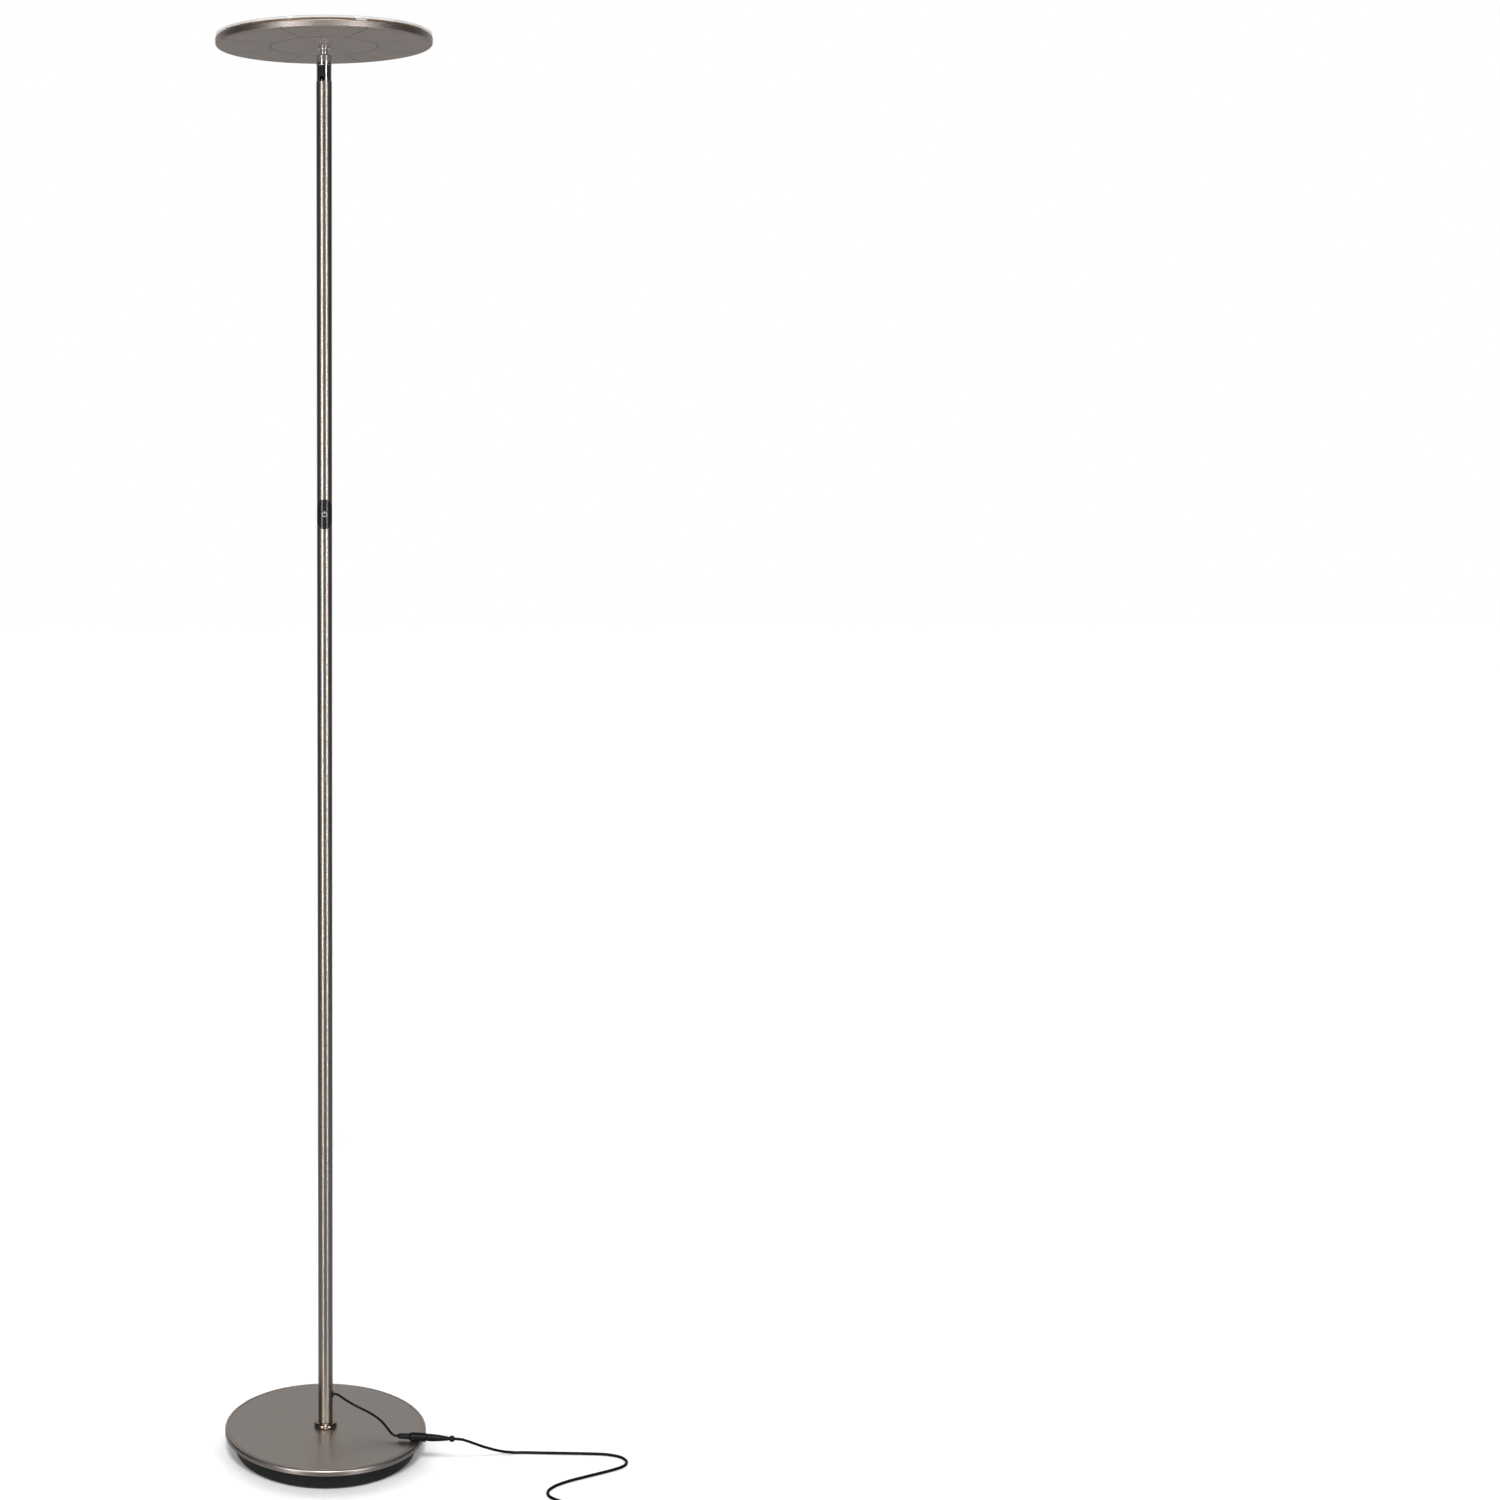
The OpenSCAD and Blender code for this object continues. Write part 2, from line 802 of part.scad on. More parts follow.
module head_dish() {
    color("#7b736c")
        difference() {
            union() {
                rotate_extrude() {
                    translate([stem_thread_r + slip, head_z])
                        square([head_r - dish_edge_r - stem_thread_r - slip, dish_t]);
                    translate([head_r - dish_t, head_z + dish_edge_r])
                        square([dish_t, dish_h - dish_edge_r]);
                    intersection() {
                        translate([head_r - dish_edge_r, head_z + dish_edge_r])
                            difference() {
                                circle(r = dish_edge_r);
                                circle(r = dish_edge_r - dish_t);
                            }
                        translate([head_r - dish_edge_r, head_z - 1])
                            square([dish_edge_r + 1, dish_edge_r + 1]);
                    }
                }
                ring_of(boss_count, boss_ring_r, 60)
                    disc(boss_r, dish_floor_z - 0.5, board_z);
            }
            disc((groove_ring_d + head_groove_w) / 2, head_z - 1, head_z + groove_depth,
                 (groove_ring_d - head_groove_w) / 2);
            for (i = [0 : groove_count - 1])
                rotate([0, 0, 360 * (i + 0.5) / groove_count])
                    translate([groove_ring_d / 2, -head_groove_w / 2, head_z - 1])
                        cube([head_r - dish_edge_r - groove_ring_d / 2, head_groove_w,
                              groove_depth + 1]);
            ring_of(boss_count, boss_ring_r, 60)
                disc(board_screw_r + fit, head_z + 0.6, board_z + 1);
        }
}

module led_board() {
    color("#e9e9e4")
        difference() {
            disc(board_d / 2, board_z, board_z + board_t, board_hole_r);
            ring_of(boss_count, boss_ring_r, 60)
                disc(board_screw_r + fit, board_z - 1, board_z + board_t + 1);
        }
}

module led_chips() {
    color("#f6e29a")
        for (ring = [[led_inner_count, led_inner_r, 0], [led_outer_count, led_outer_r, 10]])
            ring_of(ring[0], ring[1], ring[2])
                translate([-chip_size[0] / 2, -chip_size[1] / 2, board_z + board_t])
                    cube(chip_size);
}

module board_screws() {
    top = board_z + board_t;
    color("silver")
        ring_of(boss_count, boss_ring_r, 60)
            difference() {
                union() {
                    disc(board_screw_r, head_z + 0.8, top + 0.5);
                    disc(2 * board_screw_r, top, top + 1.4);
                }
                translate([-0.3, -2, top + 0.9])
                    cube([0.6, 4, 1]);
                translate([-2, -0.3, top + 0.9])
                    cube([4, 0.6, 1]);
            }
}

module lead_terminal() {
    color("white")
        translate([terminal_r - terminal_size[0] / 2, -terminal_size[1] / 2, board_z + board_t])
            cube(terminal_size);
}

module diffuser_film() {
    color("#cbb9a8", 0.8)
        disc(film_r, lens_under_z - film_t, lens_under_z);
}

module lens() {
    edge = 0.8;
    color("#e8edf0", 0.45)
        rotate_extrude() {
            translate([0, lens_under_z])
                square([lens_r - edge, lens_t]);
            translate([0, lens_under_z])
                square([lens_r, lens_t - edge]);
            intersection() {
                translate([lens_r - edge, lens_top_z - edge])
                    circle(r = edge);
                translate([lens_r - edge - 0.2, lens_top_z - edge - 0.2])
                    square(2 * edge);
            }
            translate([lens_bore_r, dish_top_z])
                square([lens_r - lens_bore_r, lens_h - lens_t + 0.5]);
            translate([lens_bore_r, dish_top_z - lens_foot_h])
                square([rim_w, lens_foot_h + 0.5]);
        }
}

module lens_clips() {
    x = sqrt(pow(lens_bore_r, 2) - pow(clip_size[1] / 2, 2)) - 0.1;
    color("#dfe6ea", 0.6)
        ring_of(clip_count, x - clip_size[0], clip_turn)
            translate([0, -clip_size[1] / 2, lens_under_z - film_t - clip_size[2]])
                cube(clip_size);
}

// Lead, connector, supply cord and adapter

module on_connector() {
    translate(connector_at)
        rotate([0, 0, connector_turn])
            along_x()
                children();
}

module lamp_lead() {
    color("#111111")
        swept_tube(lead_route, lead_r);
}

module dc_socket() {
    body_z = socket_tail_l;
    face_z = socket_tail_l + socket_body_l;
    color("#171717")
        on_connector()
            rotate_extrude()
                polygon([
                    [0, 0], [2.4, 0], [3.3, 2], [3.55, 5], [3.6, body_z - 2],
                    [connector_r - 0.5, body_z], [connector_r, body_z + 1],
                    [connector_r, face_z - 0.6], [connector_r - 0.6, face_z],
                    [2.75 + fit, face_z], [2.75 + fit, face_z - 9], [0, face_z - 9]
                ]);
}

module plug_sleeve() {
    face_z = socket_tail_l + socket_body_l;
    color("silver")
        on_connector()
            disc(2.75, face_z - 8.8, face_z + 4, 1.1);
}

module dc_plug() {
    z0 = socket_tail_l + socket_body_l;
    z1 = z0 + plug_body_l;
    z2 = z1 + plug_tail_l;
    color("#171717")
        on_connector()
            rotate_extrude()
                polygon([
                    [2.75 + fit, z0], [4, z0], [4.4, z0 + 0.6], [4.4, z0 + 9], [3.5, z1],
                    [3.1, z1], [3.1, z1 + 1], [3.5, z1 + 1.3], [3.5, z1 + 2.8], [2.4, z1 + 3],
                    [2.4, z1 + 4.2], [3.4, z1 + 4.4], [3.4, z1 + 5.9], [2.3, z1 + 6.1],
                    [2.3, z1 + 8.6], [3.3, z1 + 9], [3.7, z1 + 10.5], [3.7, z2 - 1.8],
                    [3.2, z2 - 0.6], [2.4, z2], [0, z2], [0, z0 + 4.1], [2.75 + fit, z0 + 4.1]
                ]);
}

module supply_cord() {
    color("#111111")
        swept_tube(cord_route, cord_d / 2);
}

module supply_cord_coil() {
    color("#111111")
        translate([coil_at[0], coil_at[1], 0])
            disc(coil_outer_r, coil_lift, coil_lift + coil_h, coil_inner_r);
}

module coil_tail() {
    color("#111111")
        swept_tube(tail_route, cord_d / 2);
}

// A flat band round the coil's section
module cord_tie() {
    t = coil_lift;
    inner = sqrt(pow(coil_inner_r, 2) - pow(tie_w / 2, 2));
    w = coil_outer_r - inner;
    color("#222222")
        translate([coil_at[0], coil_at[1], 0])
            rotate([0, 0, tie_turn])
                translate([inner - t, -tie_w / 2, 0])
                    difference() {
                        cube([w + 2 * t, tie_w, coil_h + 2 * t]);
                        translate([t, -1, t])
                            cube([w, tie_w + 2, coil_h]);
                    }
}

module adapter_relief() {
    color("#171717")
        translate([relief_x, adapter_y, adapter_z])
            rotate([0, -90, 0])
                rotate_extrude()
                    polygon([[0, 0], [2.5, 0], [2.7, 1.5], [4.2, relief_l], [0, relief_l]]);
}

module power_adapter() {
    e = adapter_edge_r;
    size = adapter_size;
    color("#1a1a1b")
        translate([relief_x - relief_l - size[0], adapter_y - size[1] / 2, 0])
            hull()
                for (x = [e, size[0] - e], y = [e, size[1] - e], z = [e, size[2] - e])
                    translate([x, y, z])
                        sphere(r = e, $fn = 24);
}

module adapter_blades() {
    x = relief_x - relief_l - adapter_size[0] - blade_size[0];
    color("#c9a94e")
        for (side = [-1, 1])
            translate([x, adapter_y + side * blade_spacing / 2 - blade_size[1] / 2,
                       adapter_z - blade_size[2] / 2])
                cube(blade_size);
}

base_cover();
base_weight();
base_pan();
foot_pads();
pan_screws();
base_stud();
base_washer();
base_nut();
foot_collar();
pole_tube_1();
pole_tube_2();
pole_tube_3();
pole_tube_4();
pole_sockets();
pole_studs();
cord_grommet();
pole_lead_lower();
pole_lead_upper();
switch_cover();
switch_symbol();
touch_board();
touch_spring();
neck_socket();
neck_cap();
joint_liner();
joint_spring();
friction_cup();
ball_stem();
stem_nut();
head_lead();
head_dish();
led_board();
led_chips();
board_screws();
lead_terminal();
diffuser_film();
lens();
lens_clips();
lamp_lead();
dc_socket();
plug_sleeve();
dc_plug();
supply_cord();
supply_cord_coil();
coil_tail();
cord_tie();
adapter_relief();
power_adapter();
adapter_blades();
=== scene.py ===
"""The torchiere floor lamp's surfaces, finishes, studio and camera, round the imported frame.

Metres, +Z up. The origin is on the floor, on the pole's axis, and -Y is the front.
"""
import json
import math

import bmesh
import bpy
import numpy as np
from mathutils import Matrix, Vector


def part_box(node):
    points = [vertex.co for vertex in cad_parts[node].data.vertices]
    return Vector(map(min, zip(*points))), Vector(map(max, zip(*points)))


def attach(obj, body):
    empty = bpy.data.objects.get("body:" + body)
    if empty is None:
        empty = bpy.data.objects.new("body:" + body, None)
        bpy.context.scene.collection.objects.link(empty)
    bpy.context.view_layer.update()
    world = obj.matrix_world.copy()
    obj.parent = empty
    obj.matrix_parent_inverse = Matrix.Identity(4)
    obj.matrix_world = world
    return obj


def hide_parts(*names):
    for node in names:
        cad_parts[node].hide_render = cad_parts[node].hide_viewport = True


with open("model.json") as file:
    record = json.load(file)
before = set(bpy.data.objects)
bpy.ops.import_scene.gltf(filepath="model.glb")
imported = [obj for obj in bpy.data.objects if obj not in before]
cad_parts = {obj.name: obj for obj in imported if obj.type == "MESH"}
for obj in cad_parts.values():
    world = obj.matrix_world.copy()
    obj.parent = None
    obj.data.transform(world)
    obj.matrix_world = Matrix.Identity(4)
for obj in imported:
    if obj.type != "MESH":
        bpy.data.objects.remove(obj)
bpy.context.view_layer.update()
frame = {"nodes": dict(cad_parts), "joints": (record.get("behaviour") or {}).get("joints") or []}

MM = 0.001
TURN = 2 * math.pi
UP = np.array([0.0, 0.0, 1.0])


# ---------------------------------------------------------------- places, from the frame

def corners(node):
    """The lowest and the highest corner of a CAD node, as arrays."""
    low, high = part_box(node)
    return np.array(low), np.array(high)


POLE_R = corners("pole_tube_2")[1][0]
BASE_LOW, BASE_HIGH = corners("base_cover")
BASE_R = BASE_HIGH[0]
BASE_TOP = BASE_HIGH[2]
BALL = np.array(frame["joints"][0]["pos_m"])
HEAD_Z = corners("head_dish")[0][2]
HEAD_R = corners("head_dish")[1][0]
DISH_TOP = corners("head_dish")[1][2]
LENS_TOP = corners("lens")[1][2]
LENS_R = corners("lens")[1][0]
FILM_TOP = corners("diffuser_film")[1][2]
GROMMET_X = corners("cord_grommet")[1][0]
GROOVE_RING_R, GROOVES = 61.5 * MM, 8
SWITCH_LOW, SWITCH_HIGH = corners("switch_cover")
SWITCH_Z = (SWITCH_LOW[2] + SWITCH_HIGH[2]) / 2


# ---------------------------------------------------------------- surfaces

def unit(v):
    """Each vector divided by its own length."""
    return v / np.linalg.norm(v, axis=-1, keepdims=True)


def grid(points, close_u=False, close_v=False):
    """Quads between the neighbours of points[u, v, 3], with the two counts as the UV map."""
    nu, nv = points.shape[:2]
    i = np.arange(nu if close_u else nu - 1)[:, None]
    j = np.arange(nv if close_v else nv - 1)[None, :]
    i2, j2 = i + 1, j + 1
    corner = [(i, j), (i2, j), (i2, j2), (i, j2)]
    quads = np.stack([np.broadcast_to((a % nu) * nv + b % nv, (i.size, j.size)) for a, b in corner], -1)
    uv = [np.stack(np.broadcast_arrays(b / max(nv, 1), a / max(nu, 1)), -1) for a, b in corner]
    return points.reshape(-1, 3), [quads.reshape(-1, 4)], [np.stack(uv, 2).reshape(-1, 4, 2)]


def combined(surfaces):
    """Several surfaces as one, with the face numbers moved on."""
    points, faces, uvs, start = [], [], [], 0
    for p, f, uv in surfaces:
        points.append(p)
        faces += [face + start for face in f]
        uvs += uv
        start += len(p)
    return np.concatenate(points), faces, uvs


def rounded(outline, steps=5):
    """The closed outline of corners (r, z, radius), in mm: each corner is an arc tangent to both sides."""
    corner = np.array([c[:2] for c in outline], float)
    points = []
    for k, radius in enumerate(c[2] for c in outline):
        here = corner[k]
        if radius == 0:
            points.append(here[None])
            continue
        a = unit(corner[k - 1] - here)
        b = unit(corner[(k + 1) % len(corner)] - here)
        half = math.acos(np.clip(a @ b, -1, 1)) / 2
        centre = here + unit(a + b) * radius / math.sin(half)
        start = here + a * radius / math.tan(half) - centre
        end = here + b * radius / math.tan(half) - centre
        sweep = math.pi - 2 * half
        s = np.linspace(0, 1, steps + 1)[:, None]
        points.append(centre + (np.sin((1 - s) * sweep) * start + np.sin(s * sweep) * end) / math.sin(sweep))
    return supported(np.concatenate(points)) * MM


def supported(points, near=0.4):
    """The closed outline with a point near both ends of each long side, so that shading stays flat on it."""
    out = []
    for here, after in zip(points, np.roll(points, -1, axis=0)):
        length = np.linalg.norm(after - here)
        out.append(here)
        if length > 4 * near:
            out.append(here + (after - here) * near / length)
            out.append(after - (after - here) * near / length)
    return np.array(out)


def lathe(outline, columns=128, start=0.0, sweep=TURN):
    """The closed outline (r, z) carried round Z: x = r cos t, y = r sin t.

    Part of a turn gets two end faces.
    """
    whole = abs(sweep - TURN) < 1e-6
    t = start + np.linspace(0, sweep, columns, endpoint=not whole)
    r, z = outline[:, :1], outline[:, 1:]
    points = np.stack([r * np.cos(t), r * np.sin(t), z + 0 * t], -1)
    surface = grid(points, close_u=True, close_v=whole)
    if not whole:
        n = len(outline)
        first = np.arange(n)[None] * columns
        last = first[:, ::-1] + columns - 1
        flat = np.zeros((1, n, 2))
        surface = (surface[0], surface[1] + [first, last], surface[2] + [flat, flat])
    return surface


def moved(surface, turn=np.eye(3), to=(0, 0, 0)):
    """The surface turned by a matrix, then shifted."""
    return surface[0] @ np.asarray(turn, float).T + np.asarray(to, float), surface[1], surface[2]


def axes_along(direction):
    """A turn that takes Z to the direction, keeping the sideways axis level."""
    z = unit(np.asarray(direction, float))
    x = unit(np.cross(UP, z)) if abs(z[2]) < 0.99 else np.array([1.0, 0, 0])
    return np.stack([x, np.cross(z, x), z], 1)


def smooth_route(points, step):
    """A Catmull-Rom curve through the points, in steps of about that length."""
    p = np.asarray(points, float)
    ends = np.concatenate([[2 * p[0] - p[1]], p, [2 * p[-1] - p[-2]]])
    parts = []
    for k in range(len(p) - 1):
        a, b, c, d = ends[k:k + 4]
        count = max(2, int(round(np.linalg.norm(c - b) / step)))
        t = (np.arange(count) / count)[:, None]
        parts.append(0.5 * (2 * b + (c - a) * t + (2 * a - 5 * b + 4 * c - d) * t ** 2
                            + (3 * b - a - 3 * c + d) * t ** 3))
    return np.concatenate(parts + [p[-1:]])


def tube(path, radius, sides=12):
    """A round tube along a path that is never upright.

    Each ring is path + radius * (cos t * across + sin t * over): across is level, and over is square to it
    and to the path. The UV map goes once round in its first number, and along in metres in its second.
    """
    heading = unit(np.gradient(path, axis=0))
    across = unit(np.cross(heading, UP))
    over = np.cross(across, heading)
    t = TURN * np.arange(sides) / sides
    ring = np.cos(t)[:, None] * across[:, None] + np.sin(t)[:, None] * over[:, None]
    points = path[:, None] + radius * ring
    cap = np.stack([path[[0, -1]]] * sides, 1)
    closed = np.concatenate([cap[:1], points, cap[1:]])
    surface = grid(closed, close_v=True)
    lengths = np.concatenate([[0, 0], np.cumsum(np.linalg.norm(np.diff(path, axis=0), axis=1)), [0]])
    lengths[-1] = lengths[-2]
    uv = surface[2][0].copy()
    uv[..., 1] = lengths[np.rint(uv[..., 1] * len(closed)).astype(int) % len(closed)]
    return surface[0], surface[1], [uv]


def obround(half_w, half_h, count=20):
    """End centres and unit normals round an upright slot: its outline is centre + radius * normal."""
    top = np.linspace(0, math.pi, count)
    t = np.concatenate([top, top + math.pi])
    normal = np.stack([np.cos(t), np.sin(t)], 1)
    centre = np.stack([0 * t, np.where(np.arange(len(t)) < count, 1, -1) * (half_h - half_w)], 1)
    return centre, normal


def rectangle(half_w, half_h, corner, count=6):
    """The same for an upright rectangle with round corners: the normals turn at four centres."""
    quarter = np.linspace(0, math.pi / 2, count)
    t = np.concatenate([quarter + k * math.pi / 2 for k in range(4)])
    sign = np.repeat([[1, 1], [-1, 1], [-1, -1], [1, -1]], count, axis=0)
    normal = np.stack([np.cos(t), np.sin(t)], 1)
    return sign * [half_w - corner, half_h - corner], normal


def pillow(outline, reach, rows):
    """A closed slab over an outline, in rows of (inset, height).

    A row is the outline drawn in by its inset, at its height. Past the corner radius, reach, the centres
    themselves draw in. The first and last rows are filled flat.
    """
    centre, normal = outline
    layers = []
    for inset, height in rows:
        flat = centre + normal * max(reach - inset, 0)
        past = max(inset - reach, 0)
        flat = np.sign(flat) * np.maximum(np.abs(flat) - past, 0)
        layers.append(np.column_stack([flat, np.full(len(flat), height)]))
    surface = grid(np.array(layers), close_v=True)
    n = len(centre)
    first = np.arange(n)[None]
    last = first[:, ::-1] + n * (len(rows) - 1)
    flat = np.zeros((1, n, 2))
    return surface[0], surface[1] + [first, last], surface[2] + [flat, flat]


def onto_pole(flat, radius):
    """Flat places (x, up, height) laid on the front of a cylinder: y = -sqrt((radius + height)^2 - x^2)."""
    x, up, height = flat.T
    return np.stack([x, -np.sqrt((radius + height) ** 2 - x ** 2), up], 1)


def piece(name, surface, body, nodes, finish, crease=40):
    """A mesh object from a surface: doubles merged, faces outwards, smooth up to the crease angle."""
    points, faces, uvs = surface
    sizes = np.concatenate([np.full(len(f), f.shape[1]) for f in faces])
    loops = np.concatenate([f.ravel() for f in faces])
    mesh = bpy.data.meshes.new(name)
    mesh.vertices.add(len(points))
    mesh.vertices.foreach_set("co", np.asarray(points, np.float32).ravel())
    mesh.loops.add(len(loops))
    mesh.loops.foreach_set("vertex_index", loops.astype(np.int32))
    mesh.polygons.add(len(sizes))
    mesh.polygons.foreach_set("loop_start", (np.cumsum(sizes) - sizes).astype(np.int32))
    mesh.update(calc_edges=True)
    layer = mesh.uv_layers.new(name="UVMap")
    places = np.concatenate([uv.reshape(-1, 2) for uv in uvs])
    layer.uv.foreach_set("vector", places.astype(np.float32).ravel())
    work = bmesh.new()
    work.from_mesh(mesh)
    bmesh.ops.remove_doubles(work, verts=work.verts, dist=2e-6)
    bmesh.ops.dissolve_degenerate(work, edges=work.edges, dist=1e-7)
    bmesh.ops.recalc_face_normals(work, faces=work.faces)
    work.to_mesh(mesh)
    work.free()
    mesh.shade_smooth()
    mesh.set_sharp_from_angle(angle=math.radians(crease))
    mesh.materials.append(finish)
    made = bpy.data.objects.new(name, mesh)
    bpy.context.scene.collection.objects.link(made)
    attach(made, body)
    if nodes:
        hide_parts(*nodes)
    return made


# ---------------------------------------------------------------- finishes

class Value:
    """A shader socket that sums, products and powers can be written with."""

    def __init__(self, finish, socket):
        self.finish, self.socket = finish, socket

    def _math(self, operation, *values):
        """A Math node of that operation on the values, in order."""
        return self.finish.node("ShaderNodeMath", {"operation": operation}, dict(enumerate(values)))

    def __add__(self, other):
        return self._math("ADD", self, other)

    def __sub__(self, other):
        return self._math("SUBTRACT", self, other)

    def __rsub__(self, other):
        return self._math("SUBTRACT", other, self)

    def __mul__(self, other):
        return self._math("MULTIPLY", self, other)

    def __truediv__(self, other):
        return self._math("DIVIDE", self, other)

    def __pow__(self, other):
        return self._math("POWER", self, other)

    __radd__, __rmul__ = __add__, __mul__

    def of(self, operation, *others):
        """Any other Math node operation, with this value first."""
        return self._math(operation, self, *others)

    def step(self, low, high):
        """0 below low, 1 above high, and smooth between."""
        return self.finish.node("ShaderNodeMapRange", {"interpolation_type": "SMOOTHSTEP"},
                                {"Value": self, "From Min": low, "From Max": high})


class Finish:
    """A material: numbers go to its shader's sockets, and what changes over the surface is linked."""

    def __init__(self, name, **numbers):
        self.material = bpy.data.materials.new(name)
        self.material.use_nodes = True
        self.tree = self.material.node_tree
        self.shader = self.tree.nodes["Principled BSDF"]
        for socket, value in numbers.items():
            self.put(self.shader, socket.replace("_", " "), value)
        self.place = self.node("ShaderNodeTexCoord", output="Object")

    def put(self, node, socket, value):
        """A socket's number, or its link where the value comes from another node."""
        if isinstance(value, Value):
            self.tree.links.new(value.socket, node.inputs[socket])
        elif isinstance(value, tuple) and len(value) == 3 and len(node.inputs[socket].default_value) == 4:
            node.inputs[socket].default_value = (*value, 1)
        else:
            node.inputs[socket].default_value = value

    def node(self, kind, settings=None, inputs=None, output=0):
        """A node of that type: its settings first, then the values or links of its sockets."""
        made = self.tree.nodes.new(kind)
        for setting, value in (settings or {}).items():
            if setting == "stops":
                ramp = made.color_ramp
                for spot, colour in value[len(ramp.elements):]:
                    ramp.elements.new(spot)
                for element, (spot, colour) in zip(ramp.elements, value):
                    element.position, element.color = spot, (*colour, 1)
            else:
                setattr(made, setting, value)
        for socket, value in (inputs or {}).items():
            self.put(made, socket, value)
        return Value(self, made.outputs[output])

    def set(self, **links):
        """The same for the shader's own sockets, an underscore standing for a space."""
        for socket, value in links.items():
            self.put(self.shader, socket.replace("_", " "), value)
        return self

    def noise(self, scale, detail=2.0, rough=0.5, place=None):
        """Cloudy noise with that many features to the metre."""
        return self.node("ShaderNodeTexNoise", None, {
            "Vector": place or self.place, "Scale": scale, "Detail": detail, "Roughness": rough})

    def cells(self, scale, output="Distance", place=None):
        """Cells with that many to the metre: the distance to a middle, or a random colour for each."""
        return self.node("ShaderNodeTexVoronoi", None, {"Vector": place or self.place, "Scale": scale},
                         output=output)

    def spread(self, scale):
        """The object's place with each axis scaled by its own number."""
        return self.node("ShaderNodeVectorMath", {"operation": "MULTIPLY"}, {0: self.place, 1: scale})

    def axis(self, name, place=None):
        """One coordinate of a place."""
        return self.node("ShaderNodeSeparateXYZ", None, {0: place or self.place}, output=name)

    def mix(self, factor, a, b):
        """a where the factor is 0 and b where it is 1."""
        return self.node("ShaderNodeMix", {"data_type": "RGBA"}, {0: factor, 6: a, 7: b}, output=2)

    def bump(self, height, distance, strength=1.0):
        """The shader's normal, tilted by the slope of height * distance."""
        normal = self.node("ShaderNodeBump", None,
                           {"Height": height, "Distance": distance, "Strength": strength})
        return self.set(Normal=normal)


def satin_nickel(name, light, dark, rough, grain=0.004, coat=0.15):
    """Metallic lacquer: fine bright flakes in a brown-grey coat, and a faint cloudiness."""
    f = Finish(name, Metallic=1.0, Coat_Weight=coat, Coat_Roughness=0.15)
    flake = f.cells(3800, "Color")
    sparkle = f.axis("X", flake).step(0.55, 1.0)
    cloud = f.noise(35, 3)
    tone = f.mix(sparkle * 0.55 + cloud * 0.25, dark, light)
    f.set(Base_Color=tone, Roughness=rough - sparkle * 0.08 + cloud * 0.06)
    return f.bump(f.noise(2600, 2), grain * MM).material


def sanded_nickel(name, light, dark):
    """The same lacquer over a sandy side wall: small round grains, some with a glint, and darker grooves.

    The grooves' darker colour is painted shade. A straight groove is where r * |sin(angle - the nearest
    groove's angle)| is small, beyond the ring groove, which is where |r - its radius| is small.
    """
    f = Finish(name, Metallic=1.0)
    grain = f.noise(900, 4, 0.6)
    pit = f.cells(700).step(0.0, 0.45)
    glint = f.axis("X", f.cells(1500, "Color")).step(0.9, 1.0)
    side = f.axis("Z").step(HEAD_Z + 0.6 * MM, HEAD_Z + 2.6 * MM)
    x, y = f.axis("X"), f.axis("Y")
    out = (x * x + y * y).of("SQRT")
    share = TURN / GROOVES
    turned = y.of("ARCTAN2", x) / share - 0.5
    from_line = ((turned - turned.of("ROUND")) * share).of("SINE").of("ABSOLUTE") * out
    line = (1 - from_line.step(0.4 * MM, 0.9 * MM)) * out.step(GROOVE_RING_R - 0.2 * MM, GROOVE_RING_R)
    ring = 1 - (out - GROOVE_RING_R).of("ABSOLUTE").step(0.4 * MM, 0.9 * MM)
    groove = line.of("MAXIMUM", ring) * (1 - side)
    tone = f.mix(grain * 0.5 + glint * side * 0.6 + 0.15, dark, light)
    # Painted shade: the colour is darkened in the grooves, standing in for the shade that falls in them.
    tone = f.mix(groove * 0.7, tone, tuple(0.45 * c for c in dark))
    f.set(Base_Color=tone, Roughness=0.50 + grain * 0.1 - side * 0.14 - glint * side * 0.15)
    return f.bump((grain * 0.8 + pit * 0.7) * (side * 0.9 + 0.1), 0.22 * MM, 0.8).material


def chrome(name):
    """Polished plate, with faint wiping marks."""
    f = Finish(name, Metallic=1.0)
    wipe = f.noise(60, 4, place=f.spread((1, 1, 8)))
    f.set(Base_Color=f.mix(wipe, (0.80, 0.80, 0.82), (0.88, 0.88, 0.90)), Roughness=0.05 + wipe * 0.05)
    return f.material


def black_moulding(name, tone=0.012, rough=0.42, grain=1800, depth=0.02, coat=0.0):
    """Moulded plastic: a fine spark-eroded grain and slightly uneven gloss."""
    f = Finish(name, Coat_Weight=coat, Coat_Roughness=0.2, Specular_IOR_Level=0.25)
    fine = f.noise(grain, 3)
    worn = f.noise(40, 3)
    f.set(Base_Color=f.mix(worn, (tone * 0.75,) * 3, (tone * 1.4, tone * 1.4, tone * 1.5)),
          Roughness=rough + worn * 0.12 - fine * 0.05)
    return f.bump(fine, depth * MM, 0.5).material


def cable_jacket(name):
    """Soft black PVC: slightly ribbed along its length by the extruder, with dull patches."""
    f = Finish(name, Specular_IOR_Level=0.2)
    dull = f.noise(120, 3)
    ripple = f.noise(420, 2)
    f.set(Base_Color=f.mix(dull, (0.001, 0.001, 0.001), (0.004, 0.004, 0.004)), Roughness=0.38 + dull * 0.2)
    return f.bump(ripple, 0.05 * MM, 0.4).material


def plated(name, light, dark, rough, scale=300):
    """Zinc, nickel or brass plating, uneven in tone."""
    f = Finish(name, Metallic=1.0)
    patch = f.noise(scale, 4)
    f.set(Base_Color=f.mix(patch, dark, light), Roughness=rough + patch * 0.12)
    return f.bump(f.noise(scale * 6, 2), 0.02 * MM, 0.4).material


